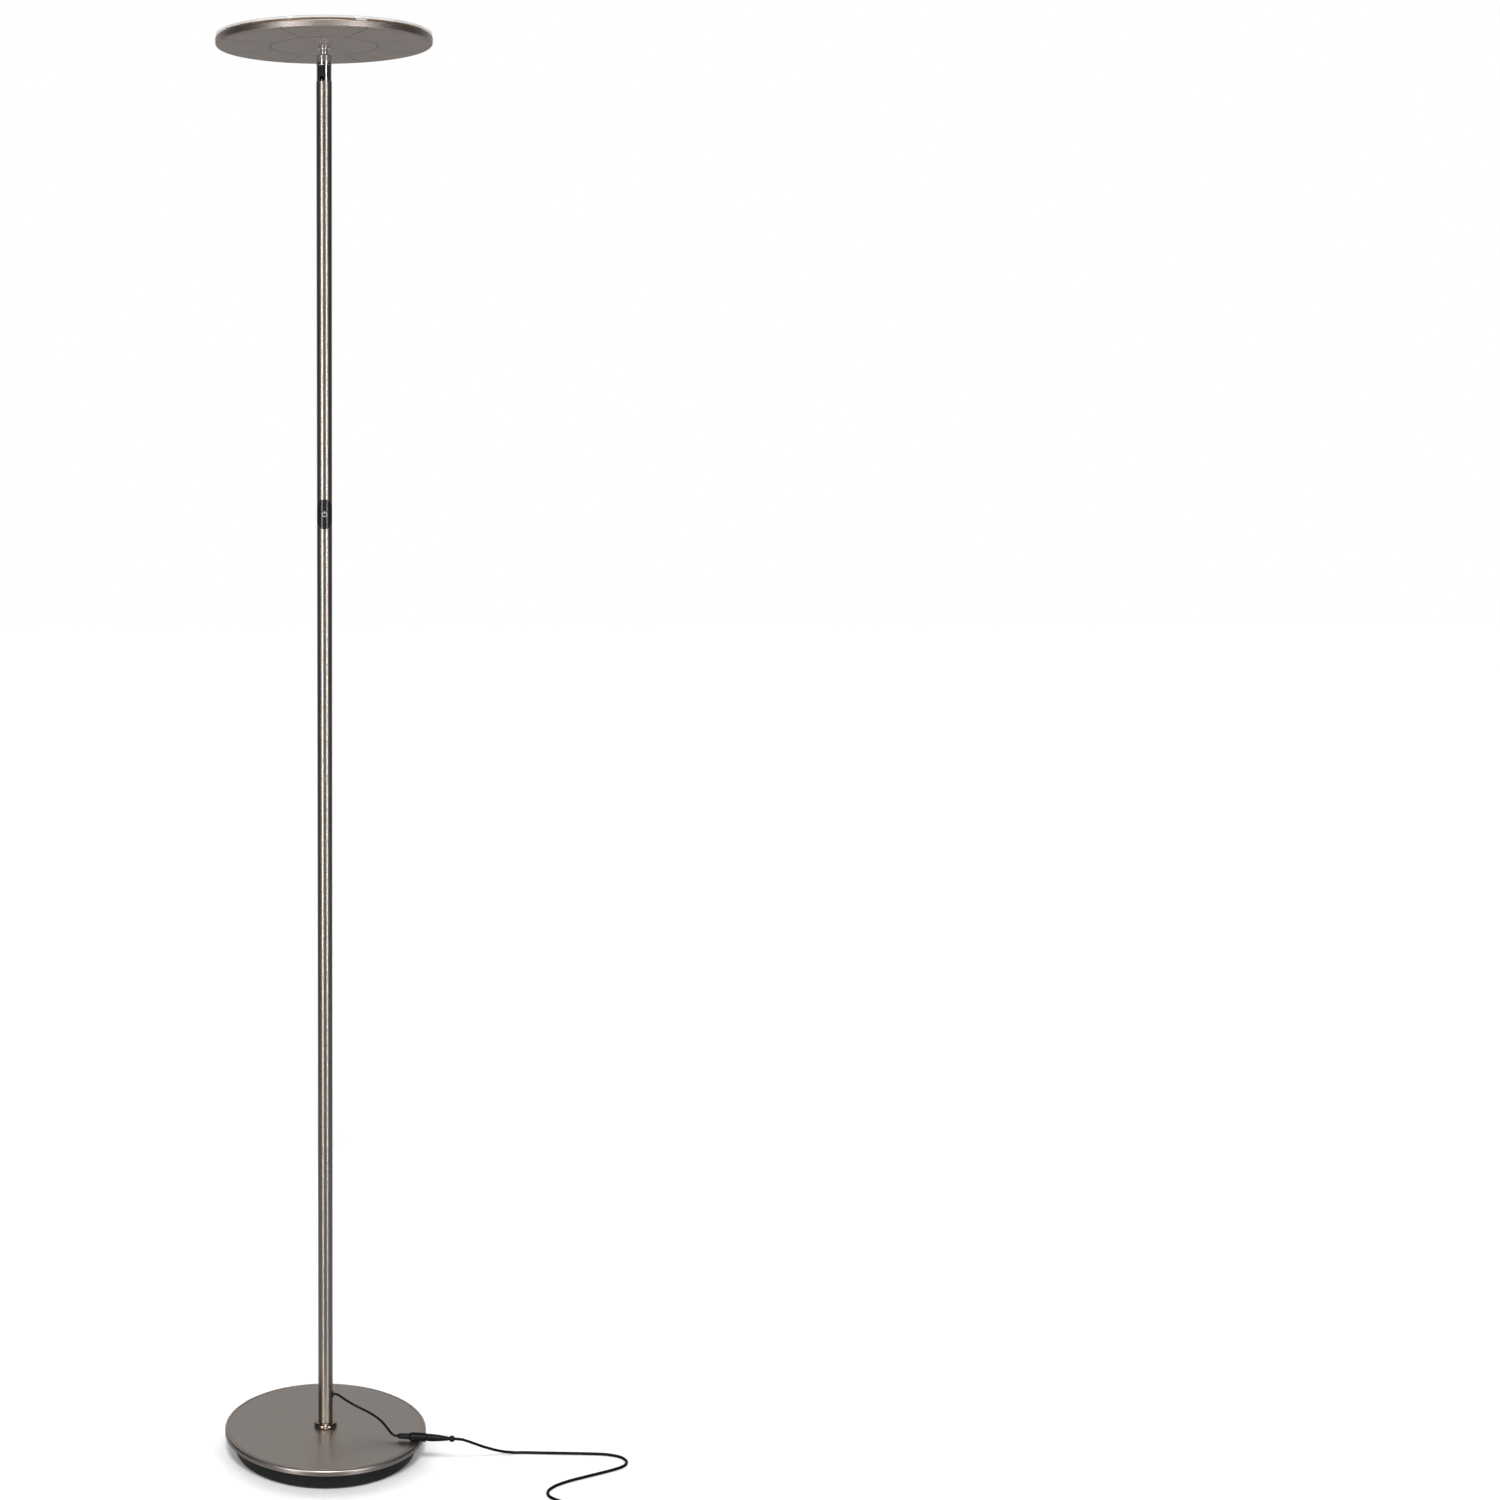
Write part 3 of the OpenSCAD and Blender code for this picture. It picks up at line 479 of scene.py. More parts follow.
def plain_moulding(name, light, dark, rough=0.5, scale=200):
    """Unpainted plastic, board or foam in two near tones."""
    f = Finish(name)
    patch = f.noise(scale, 3)
    f.set(Base_Color=f.mix(patch, dark, light), Roughness=rough + patch * 0.15)
    return f.bump(f.noise(scale * 8, 2), 0.03 * MM, 0.4).material


def cast_iron(name):
    """Rough dark casting: one lumpy noise drives tone, gloss and bump."""
    f = Finish(name, Metallic=0.6)
    lump = f.noise(220, 5, 0.6)
    f.set(Base_Color=f.mix(lump, (0.03, 0.03, 0.032), (0.09, 0.088, 0.085)), Roughness=0.6 + lump * 0.25)
    return f.bump(lump, 0.4 * MM, 0.8).material


def ring_glow(x, y, count, radius, turn, spread):
    """Brightness of one ring of LEDs: the angle folded to the nearest LED, then a bell over the distance."""
    share = TURN / count
    angle = y.of("ARCTAN2", x) - turn
    folded = (angle / share).of("ROUND") * share
    off = angle - folded
    out = (x * x + y * y).of("SQRT")
    across = off.of("SINE") * out
    along = off.of("COSINE") * out - radius
    return ((across * across + along * along) / (-spread * spread)).of("EXPONENT")


def glowing_film(name):
    """Frosted film over two rings of LEDs.

    White spots melt into a warm pool, which fades with the radius to bare film at the rim. Fine ridges, a
    sine across one direction, show in the middle.
    """
    f = Finish(name, Emission_Strength=1.0, Coat_Weight=0.35, Coat_Roughness=0.08)
    x, y = f.axis("X"), f.axis("Y")
    out = (x * x + y * y).of("SQRT")
    inner = ring_glow(x, y, 12, 27 * MM, 0.0, 4.6 * MM)
    outer = ring_glow(x, y, 18, 43 * MM, math.radians(10), 4.8 * MM)
    spots = (inner + outer).of("MINIMUM", 1.6)
    pool = 1 - out.step(30 * MM, 66 * MM)
    haze = 1 - out.step(40 * MM, 118 * MM)
    ridge_at = f.axis("X", f.node("ShaderNodeVectorRotate", {"rotation_type": "Z_AXIS"},
                                  {"Vector": f.place, "Angle": math.radians(35)}))
    ridge = (ridge_at * (TURN / (1.3 * MM))).of("SINE") * (1 - out.step(14 * MM, 30 * MM))
    speck = f.noise(1500, 2)
    warm = f.mix(haze, (0.050, 0.033, 0.024), (0.40, 0.22, 0.11))
    lit = f.mix(pool, warm, (0.80, 0.54, 0.31))
    bright = f.mix(spots.of("MINIMUM", 1.0), lit, (2.3, 1.95, 1.45))
    f.set(Base_Color=f.mix(speck, (0.15, 0.11, 0.09), (0.18, 0.135, 0.11)),
          Emission_Color=f.mix(ridge * 0.14 + 0.14, bright, (0.42, 0.27, 0.16)),
          Roughness=0.42 + speck * 0.1)
    return f.bump(ridge + speck * 0.3, 0.05 * MM, 0.3).material


def led_phosphor(name):
    """Glowing phosphor: the same two near tones for the surface and for its light."""
    f = Finish(name, Emission_Strength=6.0, Roughness=0.5)
    patch = f.noise(900, 2)
    tone = f.mix(patch, (1.0, 0.72, 0.35), (1.0, 0.80, 0.48))
    return f.set(Base_Color=tone, Emission_Color=tone).material


def clear_acrylic(name, alpha, rough):
    """Clear moulded acrylic, thin enough to see through, with a faint tint where the mould flowed."""
    f = Finish(name, IOR=1.49, Alpha=alpha, Specular_IOR_Level=0.7)
    flow = f.noise(90, 3)
    f.set(Base_Color=f.mix(flow, (0.80, 0.83, 0.85), (0.93, 0.94, 0.95)), Roughness=rough + flow * 0.03)
    return f.material


def glass_rim(name):
    """The same acrylic where it is thick: light passes through it, and it bends what is behind."""
    f = Finish(name, IOR=1.49, Transmission_Weight=1.0, Alpha=0.4)
    flow = f.noise(90, 3)
    f.set(Base_Color=f.mix(flow, (0.90, 0.93, 0.94), (0.98, 0.98, 0.98)), Roughness=0.02 + flow * 0.05)
    return f.material


NICKEL = satin_nickel("satin_nickel_lacquer", (0.66, 0.60, 0.54), (0.44, 0.39, 0.35), 0.31)
BASE_NICKEL = satin_nickel("satin_nickel_base", (0.60, 0.54, 0.50), (0.46, 0.41, 0.375), 0.38)
COLLAR_NICKEL = satin_nickel("dark_nickel_collar", (0.55, 0.48, 0.41), (0.32, 0.27, 0.23), 0.2)
HEAD_NICKEL = sanded_nickel("sanded_nickel_head", (0.66, 0.585, 0.54), (0.42, 0.365, 0.335))
CHROME = chrome("polished_chrome")
PAN_BLACK = black_moulding("pan_moulding", 0.012, 0.42, 1200, 0.03)
SWITCH_BLACK = black_moulding("switch_moulding", 0.008, 0.30, 2600, 0.004, 1.0)
RUBBER = black_moulding("grommet_rubber", 0.005, 0.55, 900, 0.03)
CONNECTOR_BLACK = black_moulding("connector_moulding", 0.003, 0.45, 1400, 0.03)
ADAPTER_BLACK = black_moulding("adapter_moulding", 0.013, 0.38, 1300, 0.05)
TIE_BLACK = black_moulding("tie_moulding", 0.014, 0.5, 1500, 0.03)
LINER_BLACK = black_moulding("nylon_liner", 0.008, 0.4, 900, 0.03)
JACKET = cable_jacket("cable_jacket")
ZINC = plated("zinc_plate", (0.72, 0.72, 0.74), (0.52, 0.52, 0.55), 0.28)
CONTACT = plated("nickel_contact_plate", (0.74, 0.72, 0.68), (0.58, 0.56, 0.53), 0.2)
BRASS = plated("blade_plate", (0.83, 0.62, 0.30), (0.66, 0.47, 0.20), 0.22)
IRON = cast_iron("cast_iron_weight")
FOAM = plain_moulding("foam_rubber", (0.05, 0.05, 0.05), (0.02, 0.02, 0.02), 0.8, 900)
SYMBOL = plain_moulding("grey_print", (0.42, 0.43, 0.44), (0.30, 0.31, 0.32), 0.45, 900)
CIRCUIT = plain_moulding("green_circuit_board", (0.03, 0.17, 0.06), (0.015, 0.10, 0.04), 0.35)
NYLON = plain_moulding("natural_nylon", (0.86, 0.85, 0.80), (0.74, 0.73, 0.68), 0.4)
WHITE_LEAD = plain_moulding("white_lead", (0.85, 0.85, 0.84), (0.72, 0.72, 0.71), 0.4)
BOARD = plain_moulding("white_circuit_board", (0.86, 0.86, 0.84), (0.76, 0.76, 0.75), 0.35)
TERMINAL = plain_moulding("white_terminal", (0.90, 0.90, 0.88), (0.80, 0.80, 0.79), 0.4)
FILM = glowing_film("glowing_frosted_film")
PHOSPHOR = led_phosphor("led_phosphor")
LENS_FACE = clear_acrylic("clear_acrylic_face", 0.10, 0.05)
LENS_RIM = glass_rim("clear_acrylic_rim")
CLIP = clear_acrylic("clear_acrylic_clip", 0.45, 0.12)

KEPT = {
    "base_weight": IRON, "pan_screws": ZINC, "base_stud": ZINC, "base_washer": ZINC, "base_nut": ZINC,
    "pole_sockets": ZINC, "pole_studs": ZINC, "pole_lead_lower": JACKET, "pole_lead_upper": JACKET,
    "touch_board": CIRCUIT, "touch_spring": ZINC, "joint_liner": LINER_BLACK, "joint_spring": ZINC,
    "friction_cup": NYLON, "stem_nut": ZINC, "head_lead": WHITE_LEAD, "led_board": BOARD,
    "led_chips": PHOSPHOR, "board_screws": ZINC, "lead_terminal": TERMINAL, "diffuser_film": FILM,
    "lens_clips": CLIP, "plug_sleeve": CONTACT,
}
for node, finish in KEPT.items():
    frame["nodes"][node].data.materials.clear()
    frame["nodes"][node].data.materials.append(finish)


# ---------------------------------------------------------------- base

def base_cover():
    """Sheet cover: a flat top with a fine step line near its edge, a pressed round edge and a short skirt."""
    r, top, foot = BASE_R / MM, BASE_TOP / MM, BASE_LOW[2] / MM
    hole, sheet, edge, line, depth = 5.1, 1.5, 2.6, 4.8, 0.4
    outline = rounded([
        (hole, top, 0), (r - line, top, 0.12), (r - line, top - depth, 0.1),
        (r - line + 0.6, top - depth, 0.1), (r - line + 0.6, top, 0.2), (r, top, edge), (r, foot, 0.5),
        (r - sheet, foot, 0.5), (r - sheet, top - sheet, edge - sheet), (hole, top - sheet, 0)], 8)
    piece("base_cover_shell", lathe(outline, 256), "stand", ["base_cover"], BASE_NICKEL)


def base_pan():
    """Black pan: a slightly drafted wall with a round foot and a shallow bead below its rim."""
    low, high = corners("base_pan")
    rim, foot, top, wall = high[0] / MM, high[0] / MM - 0.5, high[2] / MM, 2.5
    z, opening = low[2] / MM, 18
    slope = (rim - foot) / (top - z)
    outline = rounded([
        (opening, z, 0.5), (foot, z, 2.2), (rim - slope * 5, top - 5, 0.3),
        (rim - slope * 5 + 0.5, top - 4.6, 0.2), (rim, top, 0.2), (rim - wall, top, 0.2),
        (foot - wall, z + wall, 1), (opening, z + wall, 0.5)], 6)
    piece("base_pan_shell", lathe(outline, 192), "stand", ["base_pan"], PAN_BLACK)


def foot_pads():
    """Foam pads, each a disc with a soft edge, let into the pan."""
    high = corners("foot_pads")[1]
    r, t = 8.0, high[2] / MM
    ring = high[0] - r * MM
    disc = lathe(rounded([(0, 0, 0), (r, 0, 0.6), (r, t, 0.3), (0, t, 0)]), 48)
    pads = []
    for k in range(6):
        a = TURN * k / 6
        pads.append(moved(disc, to=(ring * math.cos(a), ring * math.sin(a), 0)))
    piece("foot_pad_discs", combined(pads), "stand", ["foot_pads"], FOAM)


def foot_collar():
    """Turned ring at the foot of the pole: a half-round bead that hollows up to the pole."""
    low, high = corners("foot_collar")
    r, z, top = high[0] / MM, low[2] / MM, high[2] / MM
    outline = rounded([(5.1, z, 0), (r, z, 2.6), (r, top - 0.6, 2.8), (POLE_R / MM + 1.2, top, 0.6),
                       (5.1, top, 0)], 8)
    piece("foot_collar_ring", lathe(outline, 128), "stand", ["foot_collar"], COLLAR_NICKEL)


# ---------------------------------------------------------------- pole

def pole_tubes():
    """Four drawn tubes with bevelled ends, which leave a fine line where they meet."""
    wall, bevel = 1.0, 0.3
    r = POLE_R / MM
    for k in range(1, 5):
        node = f"pole_tube_{k}"
        low, high = corners(node)
        z0, z1 = low[2] / MM, high[2] / MM
        outline = rounded([
            (r - wall, z0, 0), (r - bevel, z0, 0.1), (r, z0 + bevel, 0.2), (r, z1 - bevel, 0.2),
            (r - bevel, z1, 0.1), (r - wall, z1, 0)], 3)
        piece(f"{node}_shell", lathe(outline, 128), "stand", [node], NICKEL)


def cord_grommet():
    """Rubber grommet: a domed flange on the pole, with a short lip round the lead."""
    low, high = corners("cord_grommet")
    z = (low[2] + high[2]) / 2
    r, face = (high[2] - low[2]) / 2 / MM, GROMMET_X / MM
    bore, back = 1.55, 7
    outline = rounded([(bore, back, 0), (r, back, 0), (r, face - 0.6, 0.6), (2.9, face - 0.35, 0.4),
                       (2.6, face, 0.3), (bore, face, 0.2)])
    surface = moved(lathe(outline, 64), axes_along((1, 0, 0)), (0, 0, z))
    piece("cord_grommet_ring", surface, "stand", ["cord_grommet"], RUBBER)


# ---------------------------------------------------------------- switch

def switch():
    """Touch plate: a slot outline laid round the front of the pole, with a rolled edge.

    Its grey symbol is an arc with a gap at the top, and an upright bar in the gap.
    """
    half_w, half_h = 8.8, (SWITCH_HIGH[2] - SWITCH_LOW[2]) / 2 / MM
    radius = POLE_R / MM
    rows = [(half_w, -0.1), (4, -0.1), (0.02, -0.1), (0, 0.25)]
    bend = np.linspace(0, math.pi / 2, 6)[1:]
    rows += [(0.5 * (1 - math.cos(a)), 0.25 + 0.5 * math.sin(a)) for a in bend]
    rows += [(inset, 0.75 + 0.05 * min(1, inset / 3)) for inset in (0.9, 1.4, 2, 3, 4, 5, 6, 7, 8, half_w)]
    flat = pillow(obround(half_w, half_h, 40), half_w, rows)
    plate = (onto_pole(flat[0], radius) * MM, flat[1], flat[2])
    piece("switch_plate", moved(plate, to=(0, 0, SWITCH_Z)), "stand", ["switch_cover"],
          SWITCH_BLACK)
    top = radius + 0.8
    ring_r, line, gap = 2.65, 0.9, math.radians(22)
    around = np.linspace(math.pi / 2 + gap, math.pi / 2 + TURN - gap, 56)
    section = np.array([(-0.5, -0.2), (-0.5, 0.02), (-0.42, 0.06), (0.42, 0.06), (0.5, 0.02), (0.5, -0.2)])
    r = ring_r + section[:, :1] * line
    ring = np.stack([r * np.cos(around), r * np.sin(around), section[:, 1:] + 0 * around], -1)
    n, m = ring.shape[:2]
    surface = grid(ring, close_u=True)
    ends = [np.arange(n)[None] * m, np.arange(n)[None, ::-1] * m + m - 1]
    arc = (surface[0], surface[1] + ends, surface[2] + [np.zeros((1, n, 2))] * 2)
    bar = pillow(obround(0.45, 1.75, 12), 0.45, [(0, -0.2), (0, 0.02), (0.08, 0.06), (0.45, 0.06)])
    bar = moved(bar, to=(0, 2.0, 0))
    points, faces, uvs = combined([arc, bar])
    sign = (onto_pole(points, top) * MM, faces, uvs)
    piece("switch_sign", moved(sign, to=(0, 0, SWITCH_Z)), "stand", ["switch_symbol"], SYMBOL)


# ---------------------------------------------------------------- neck

def neck():
    """Slotted socket, cap and ball stem, all chromed."""
    z0 = corners("pole_tube_4")[1][2] / MM
    z1 = corners("neck_cap")[0][2] / MM
    r, bore, slot = 8.65, 7.2, 5.0
    half = math.asin(slot / 2 / r)
    facing = math.radians(252)
    outline = rounded([(bore, z0, 0), (r, z0, 0.15), (r, z1, 0.15), (bore, z1, 0)], 3)
    piece("neck_socket_sleeve", lathe(outline, 120, facing + half, TURN - 2 * half), "stand", ["neck_socket"],
          CHROME)
    z0, z1 = z1, corners("neck_cap")[1][2] / MM
    cap_r, mouth, cavity = corners("neck_cap")[1][0] / MM, 7.1, 8.0
    centre = BALL[2] / MM
    bowl = [(cavity * math.cos(a), centre + cavity * math.sin(a)) for a in np.linspace(0.46, 0, 6)]
    corner = [(cap_r, z0, 0.25), (cap_r, z1, 1.6), (mouth, z1, 0.25), (mouth, bowl[0][1] + 0.2, 0.1)]
    corner += [(x, z, 0) for x, z in bowl] + [(cavity, z0, 0)]
    piece("neck_cap_shell", lathe(rounded(corner, 8), 128), "stand", ["neck_cap"], CHROME)
    top = corners("ball_stem")[1][2] / MM
    ball_r = 7.8
    flange_r, flange_z = 6.5, HEAD_Z / MM - 3
    stem_r = 4.8
    meet = math.acos(stem_r / ball_r)
    funnel_r, bore, thread_r = 5.5, 1.6, 5.0
    ball = [(ball_r * math.cos(a), centre + ball_r * math.sin(a))
            for a in np.linspace(-math.acos(funnel_r / ball_r), meet, 40)]
    rise = centre + ball_r * math.sin(meet)
    waist = [(stem_r + 0.12 * math.sin(math.pi * s), rise + (flange_z - rise) * s)
             for s in np.linspace(0.1, 0.95, 8)]
    corner = [(x, z, 0) for x, z in ball + waist]
    corner += [(stem_r, flange_z, 0.25), (flange_r, flange_z, 0.4), (flange_r, flange_z + 3, 0.25)]
    corner += [(thread_r, flange_z + 3, 0), (thread_r, top, 0.4), (bore, top, 0), (bore, centre, 0)]
    piece("ball_stem_turned", lathe(rounded(corner, 6), 128), "head", ["ball_stem"], CHROME)


# ---------------------------------------------------------------- head

def head_dish():
    """Pressed dish. Its underside has a ring groove and eight straight grooves from there to the rim.

    Rows run along the section. Columns gather beside each straight groove at a fixed distance from its
    middle line, so that the groove keeps its width: angle = groove's angle + asin(offset / r).
    """
    r, low, top = HEAD_R / MM, HEAD_Z / MM, DISH_TOP / MM
    sheet, edge, hole = 1.2, 3.0, 5.1
    ring_r, width, depth, count = GROOVE_RING_R / MM, 1.0, 0.5, GROOVES
    ring = [(-0.75, 0), (-0.6, 0), (-0.2, depth), (0.2, depth), (0.6, 0), (0.75, 0)]
    rows = [(hole, low, 0), (hole + 4, low, 0)]
    rows += [(x, low, 0) for x in np.linspace(16, ring_r - 6, 6)]
    rows += [(ring_r + x * width, low, d) for x, d in ring]
    rows += [(x, low, 0) for x in np.linspace(ring_r + 3, r - edge - 3, 9)]
    rows += [(r - edge - 0.5, low, 0)]
    bend = np.linspace(0, math.pi / 2, 11)
    rows += [(r - edge + edge * math.sin(a), low + edge * (1 - math.cos(a)), 0) for a in bend]
    rows += [(r, low + edge + 0.6, 0), (r, top - 1.2, 0), (r, top - 0.35, 0), (r - 0.1, top - 0.1, 0),
             (r - 0.35, top, 0), (r - sheet + 0.2, top, 0), (r - sheet, top - 0.2, 0),
             (r - sheet, low + edge, 0)]
    inner = edge - sheet
    rows += [(r - edge + inner * math.cos(a), low + edge - inner * math.sin(a), 0)
             for a in np.linspace(0, math.pi / 2, 6)]
    rows += [(r - edge - 4, low + sheet, 0), (hole, low + sheet, 0)]
    rows = np.array(rows)
    offsets = np.array([-0.75, -0.6, -0.2, 0.2, 0.6, 0.75]) * width
    cut = np.array([0, 0, depth, depth, 0, 0])
    between = 24
    angles, cuts = [], []
    reach = np.maximum(rows[:, 0], ring_r)[:, None]
    side = np.arcsin(offsets[None] / reach)
    share = TURN / count
    s = np.linspace(0, 1, between + 2)[None, 1:-1]
    for k in range(count):
        here = (k + 0.5) * share
        angles += [here + side, here + side[:, -1:] + s * (share + side[:, :1] - side[:, -1:])]
        cuts += [cut, np.zeros(between)]
    angle = np.concatenate(angles, 1)
    straight = np.concatenate(cuts)[None]
    x, z, groove = rows[:, :1], rows[:, 1:2], rows[:, 2:]
    under = (z == low) & (x >= ring_r - 0.21) & (x <= r - edge)
    lift = np.maximum(groove, np.where(under, straight, 0))
    points = np.stack([x * np.cos(angle), x * np.sin(angle), z + lift], -1) * MM
    piece("head_dish_shell", grid(points, close_u=True, close_v=True), "head", ["head_dish"],
          HEAD_NICKEL, 30)


def lens():
    """Clear lens in two moulded zones: the thin face over the film, and the thick rim held by the dish."""
    top, dish, r = LENS_TOP / MM, DISH_TOP / MM, LENS_R / MM
    under = FILM_TOP / MM
    bore, foot_r, foot = 120.8, 122.6, dish - 2
    rim = rounded([
        (bore, foot, 0.2), (foot_r, foot, 0.3), (foot_r, dish + 0.02, 0.1), (r, dish + 0.02, 0.15),
        (r, top, 0.8), (bore - 0.1, top, 0.05), (bore - 0.1, under, 0.05), (bore, under - 0.1, 0)], 6)
    piece("lens_rim", lathe(rim, 256), "head", ["lens"], LENS_RIM)
    face = rounded([(0, top - 0.3, 0), (bore - 0.4, top - 0.3, 0.1), (bore - 0.15, top - 0.02, 0.05),
                    (0, top - 0.02, 0)], 3)
    piece("lens_face", lathe(face, 256), "head", [], LENS_FACE)


# ---------------------------------------------------------------- lead, connector and supply cord

LEAD_D, CORD_D = 3.0, 3.5
FLOOR_Z = CORD_D / 2
CONNECTOR_AT = np.array([88.5, -41.5, 35.3])
CONNECTOR_TURN = math.radians(-7)
CONNECTOR_AXIS = np.array([math.cos(CONNECTOR_TURN), math.sin(CONNECTOR_TURN), 0])
SOCKET_TAIL, SOCKET_BODY, PLUG_BODY, PLUG_TAIL = 16, 19, 20, 15
PLUG_END = CONNECTOR_AT + (SOCKET_TAIL + SOCKET_BODY + PLUG_BODY + PLUG_TAIL) * CONNECTOR_AXIS
COIL_AT = (306, -198)
TAIL_Y, RELIEF_X, ADAPTER_Z = -215.5, 272, 13.5

LEAD_ROUTE = [
    (10.2, 0, 71), (11.7, 0, 71), (15, -0.2, 70.1), (18, -0.5, 68.4), (22, -1.2, 65.8), (27, -2.2, 62.8),
    (33, -3.8, 59.8), (39, -5.8, 57.2), (45.5, -8.2, 55), (52, -11.2, 52.8), (58, -14.5, 50.7),
    (63.5, -18.2, 48.5), (68.5, -22.5, 46), (73, -27.5, 43), (77, -33, 40), (80, -37.2, 37.8),
    (83, -40, 36.2), CONNECTOR_AT - 2.5 * CONNECTOR_AXIS, CONNECTOR_AT,
]
CORD_ROUTE = [
    PLUG_END, PLUG_END + 4 * CONNECTOR_AXIS, (168, -49.6, 34), (175, -46.5, 30.3), (181, -43.5, 26.8),
    (187, -40, 23), (193, -36.5, 19.2), (199, -33, 15.7), (205, -29.5, 12.3), (211, -26, 9.2),
    (217, -22.8, 6.4), (223, -20, 4.2), (229, -18, 2.7), (236, -17, FLOOR_Z), (245, -16.8, FLOOR_Z),
    (257, -17.2, FLOOR_Z), (270, -17.8, FLOOR_Z), (284, -18.4, FLOOR_Z), (298, -19, FLOOR_Z),
    (312, -19.5, FLOOR_Z), (326, -20.2, FLOOR_Z), (338, -21, FLOOR_Z), (348, -22.5, FLOOR_Z),
    (357, -25.5, FLOOR_Z), (364.5, -30, FLOOR_Z), (369, -36.5, FLOOR_Z), (370, -43.5, FLOOR_Z),
    (367, -51, FLOOR_Z), (360.5, -57.5, FLOOR_Z), (351, -63.5, FLOOR_Z), (340, -69.5, FLOOR_Z),
    (328, -75.5, FLOOR_Z), (316, -81.5, FLOOR_Z), (304, -87.5, FLOOR_Z), (293, -93.5, FLOOR_Z),
    (283, -100, FLOOR_Z), (274.5, -107, FLOOR_Z), (268, -115, FLOOR_Z), (265, -123.5, FLOOR_Z),
    (266, -131.5, FLOOR_Z), (270.5, -138, FLOOR_Z), (277, -143.5, FLOOR_Z), (285, -150, FLOOR_Z),
    (295, -158, FLOOR_Z), (305, -166, 2.1), (314, -173, 2.35),
]
TAIL_ROUTE = [
    (298, TAIL_Y, 12.85), (290, TAIL_Y, 12.85), (282, TAIL_Y, 13.05), (277, TAIL_Y, ADAPTER_Z),
    (RELIEF_X - 1, TAIL_Y, ADAPTER_Z), (250, TAIL_Y, ADAPTER_Z), (222, TAIL_Y, ADAPTER_Z),
]


def coil_route():
    """8.3 turns in three layers, over three slots of radius, wound clockwise seen from above.

    The radius moves one slot and the height one layer in about an eighth of a turn, each at its own place
    in the turn, so that turns pass beside or over each other. It starts at 33 degrees and ends near -84
    degrees, where it rises off the top layer over its last quarter turn.
    """
    slots = [24.5, 21.0, 17.5]
    low = 0.6 + CORD_D / 2
    turns = [0.05, 0.88, 1.0, 1.88, 2.0, 3.62, 3.75, 4.62, 4.75, 6.36, 6.49, 7.36, 7.49, 8.392]
    radius = [slots[k] for k in (0, 0, 1, 1, 2, 2, 1, 1, 0, 0, 1, 1, 2, 2)]
    rise_at = [0.05, 2.75, 2.88, 5.49, 5.62, 8.15, 8.392]
    height = [low + CORD_D * k for k in (0, 0, 1, 1, 2, 2, 3)]
    s = np.arange(0.05, 8.392, 1 / 40)
    angle = math.radians(51) - TURN * s
    r, z = np.interp(s, turns, radius), np.interp(s, rise_at, height)
    return np.stack([COIL_AT[0] + r * np.cos(angle), COIL_AT[1] + r * np.sin(angle), z], 1)


def connector_part(name, outline, nodes):
    """An outline turned round the connector's axis, from the lead's end of it."""
    surface = moved(lathe(rounded(outline), 64), axes_along(CONNECTOR_AXIS), CONNECTOR_AT * MM)
    return piece(name, surface, "stand", nodes, CONNECTOR_BLACK)


def ribs(start, count, pitch, low, high):
    """Corners of a row of soft ribs along a strain relief."""
    out = []
    for k in range(count):
        z = start + k * pitch
        out += [(low, z, 0.15), (high, z + 0.15 * pitch, 0.25), (high, z + 0.6 * pitch, 0.25),
                (low, z + 0.72 * pitch, 0.15)]
    return out


def dc_plug():
    """The supply's plug: a body that narrows to a neck, three ribs and a round end where the cord leaves."""
    return connector_part("dc_plug_body", [
        (2.8, 35.02, 0.1), (4.0, 35.02, 0.2), (4.4, 35.8, 0.3), (4.4, 43.6, 0.6), (3.55, 54.6, 0.6),
        (3.1, 55.0, 0.2), (3.1, 56.0, 0.2), (3.5, 56.3, 0.3), (3.5, 57.8, 0.3), (2.4, 58.0, 0.2),
        (2.4, 59.2, 0.2), (3.4, 59.4, 0.3), (3.4, 60.9, 0.3), (2.3, 61.1, 0.2), (2.3, 63.6, 0.2),
        (3.3, 64.0, 0.5), (3.75, 65.4, 0.8), (3.7, 68.3, 0.8), (3.0, 69.4, 0.5), (2.0, 69.95, 0.2),
        (0, 69.95, 0), (0, 39.1, 0), (2.8, 39.1, 0)], ["dc_plug"])


def lamp_lead():
    """The lamp's lead falls from the pole to a socket that lies on the base."""
    path = smooth_route(LEAD_ROUTE, 1.2) * MM
    socket = connector_part("dc_socket_body", [
        (0.0, 0.02, 0), (2.3, 0.02, 0.5), (3.2, 2.2, 1), (3.45, 5, 1), (3.6, SOCKET_TAIL - 2.2, 1),
        (4.8, SOCKET_TAIL - 0.2, 0.8), (5.3, SOCKET_TAIL + 1, 0.6), (5.3, 26, 0.2), (5.1, 26.3, 0.1),
        (5.1, 26.9, 0.1), (5.3, 27.2, 0.2), (5.3, 34.4, 0.5), (4.7, 35, 0.3), (2.8, 35, 0.1), (2.8, 26.5, 0),
        (0, 26.5, 0)], ["dc_socket"])
    surface = tube(path, LEAD_D / 2 * MM, 16)
    lead = piece("lamp_lead_cable", surface, "stand", ["lamp_lead"], JACKET)


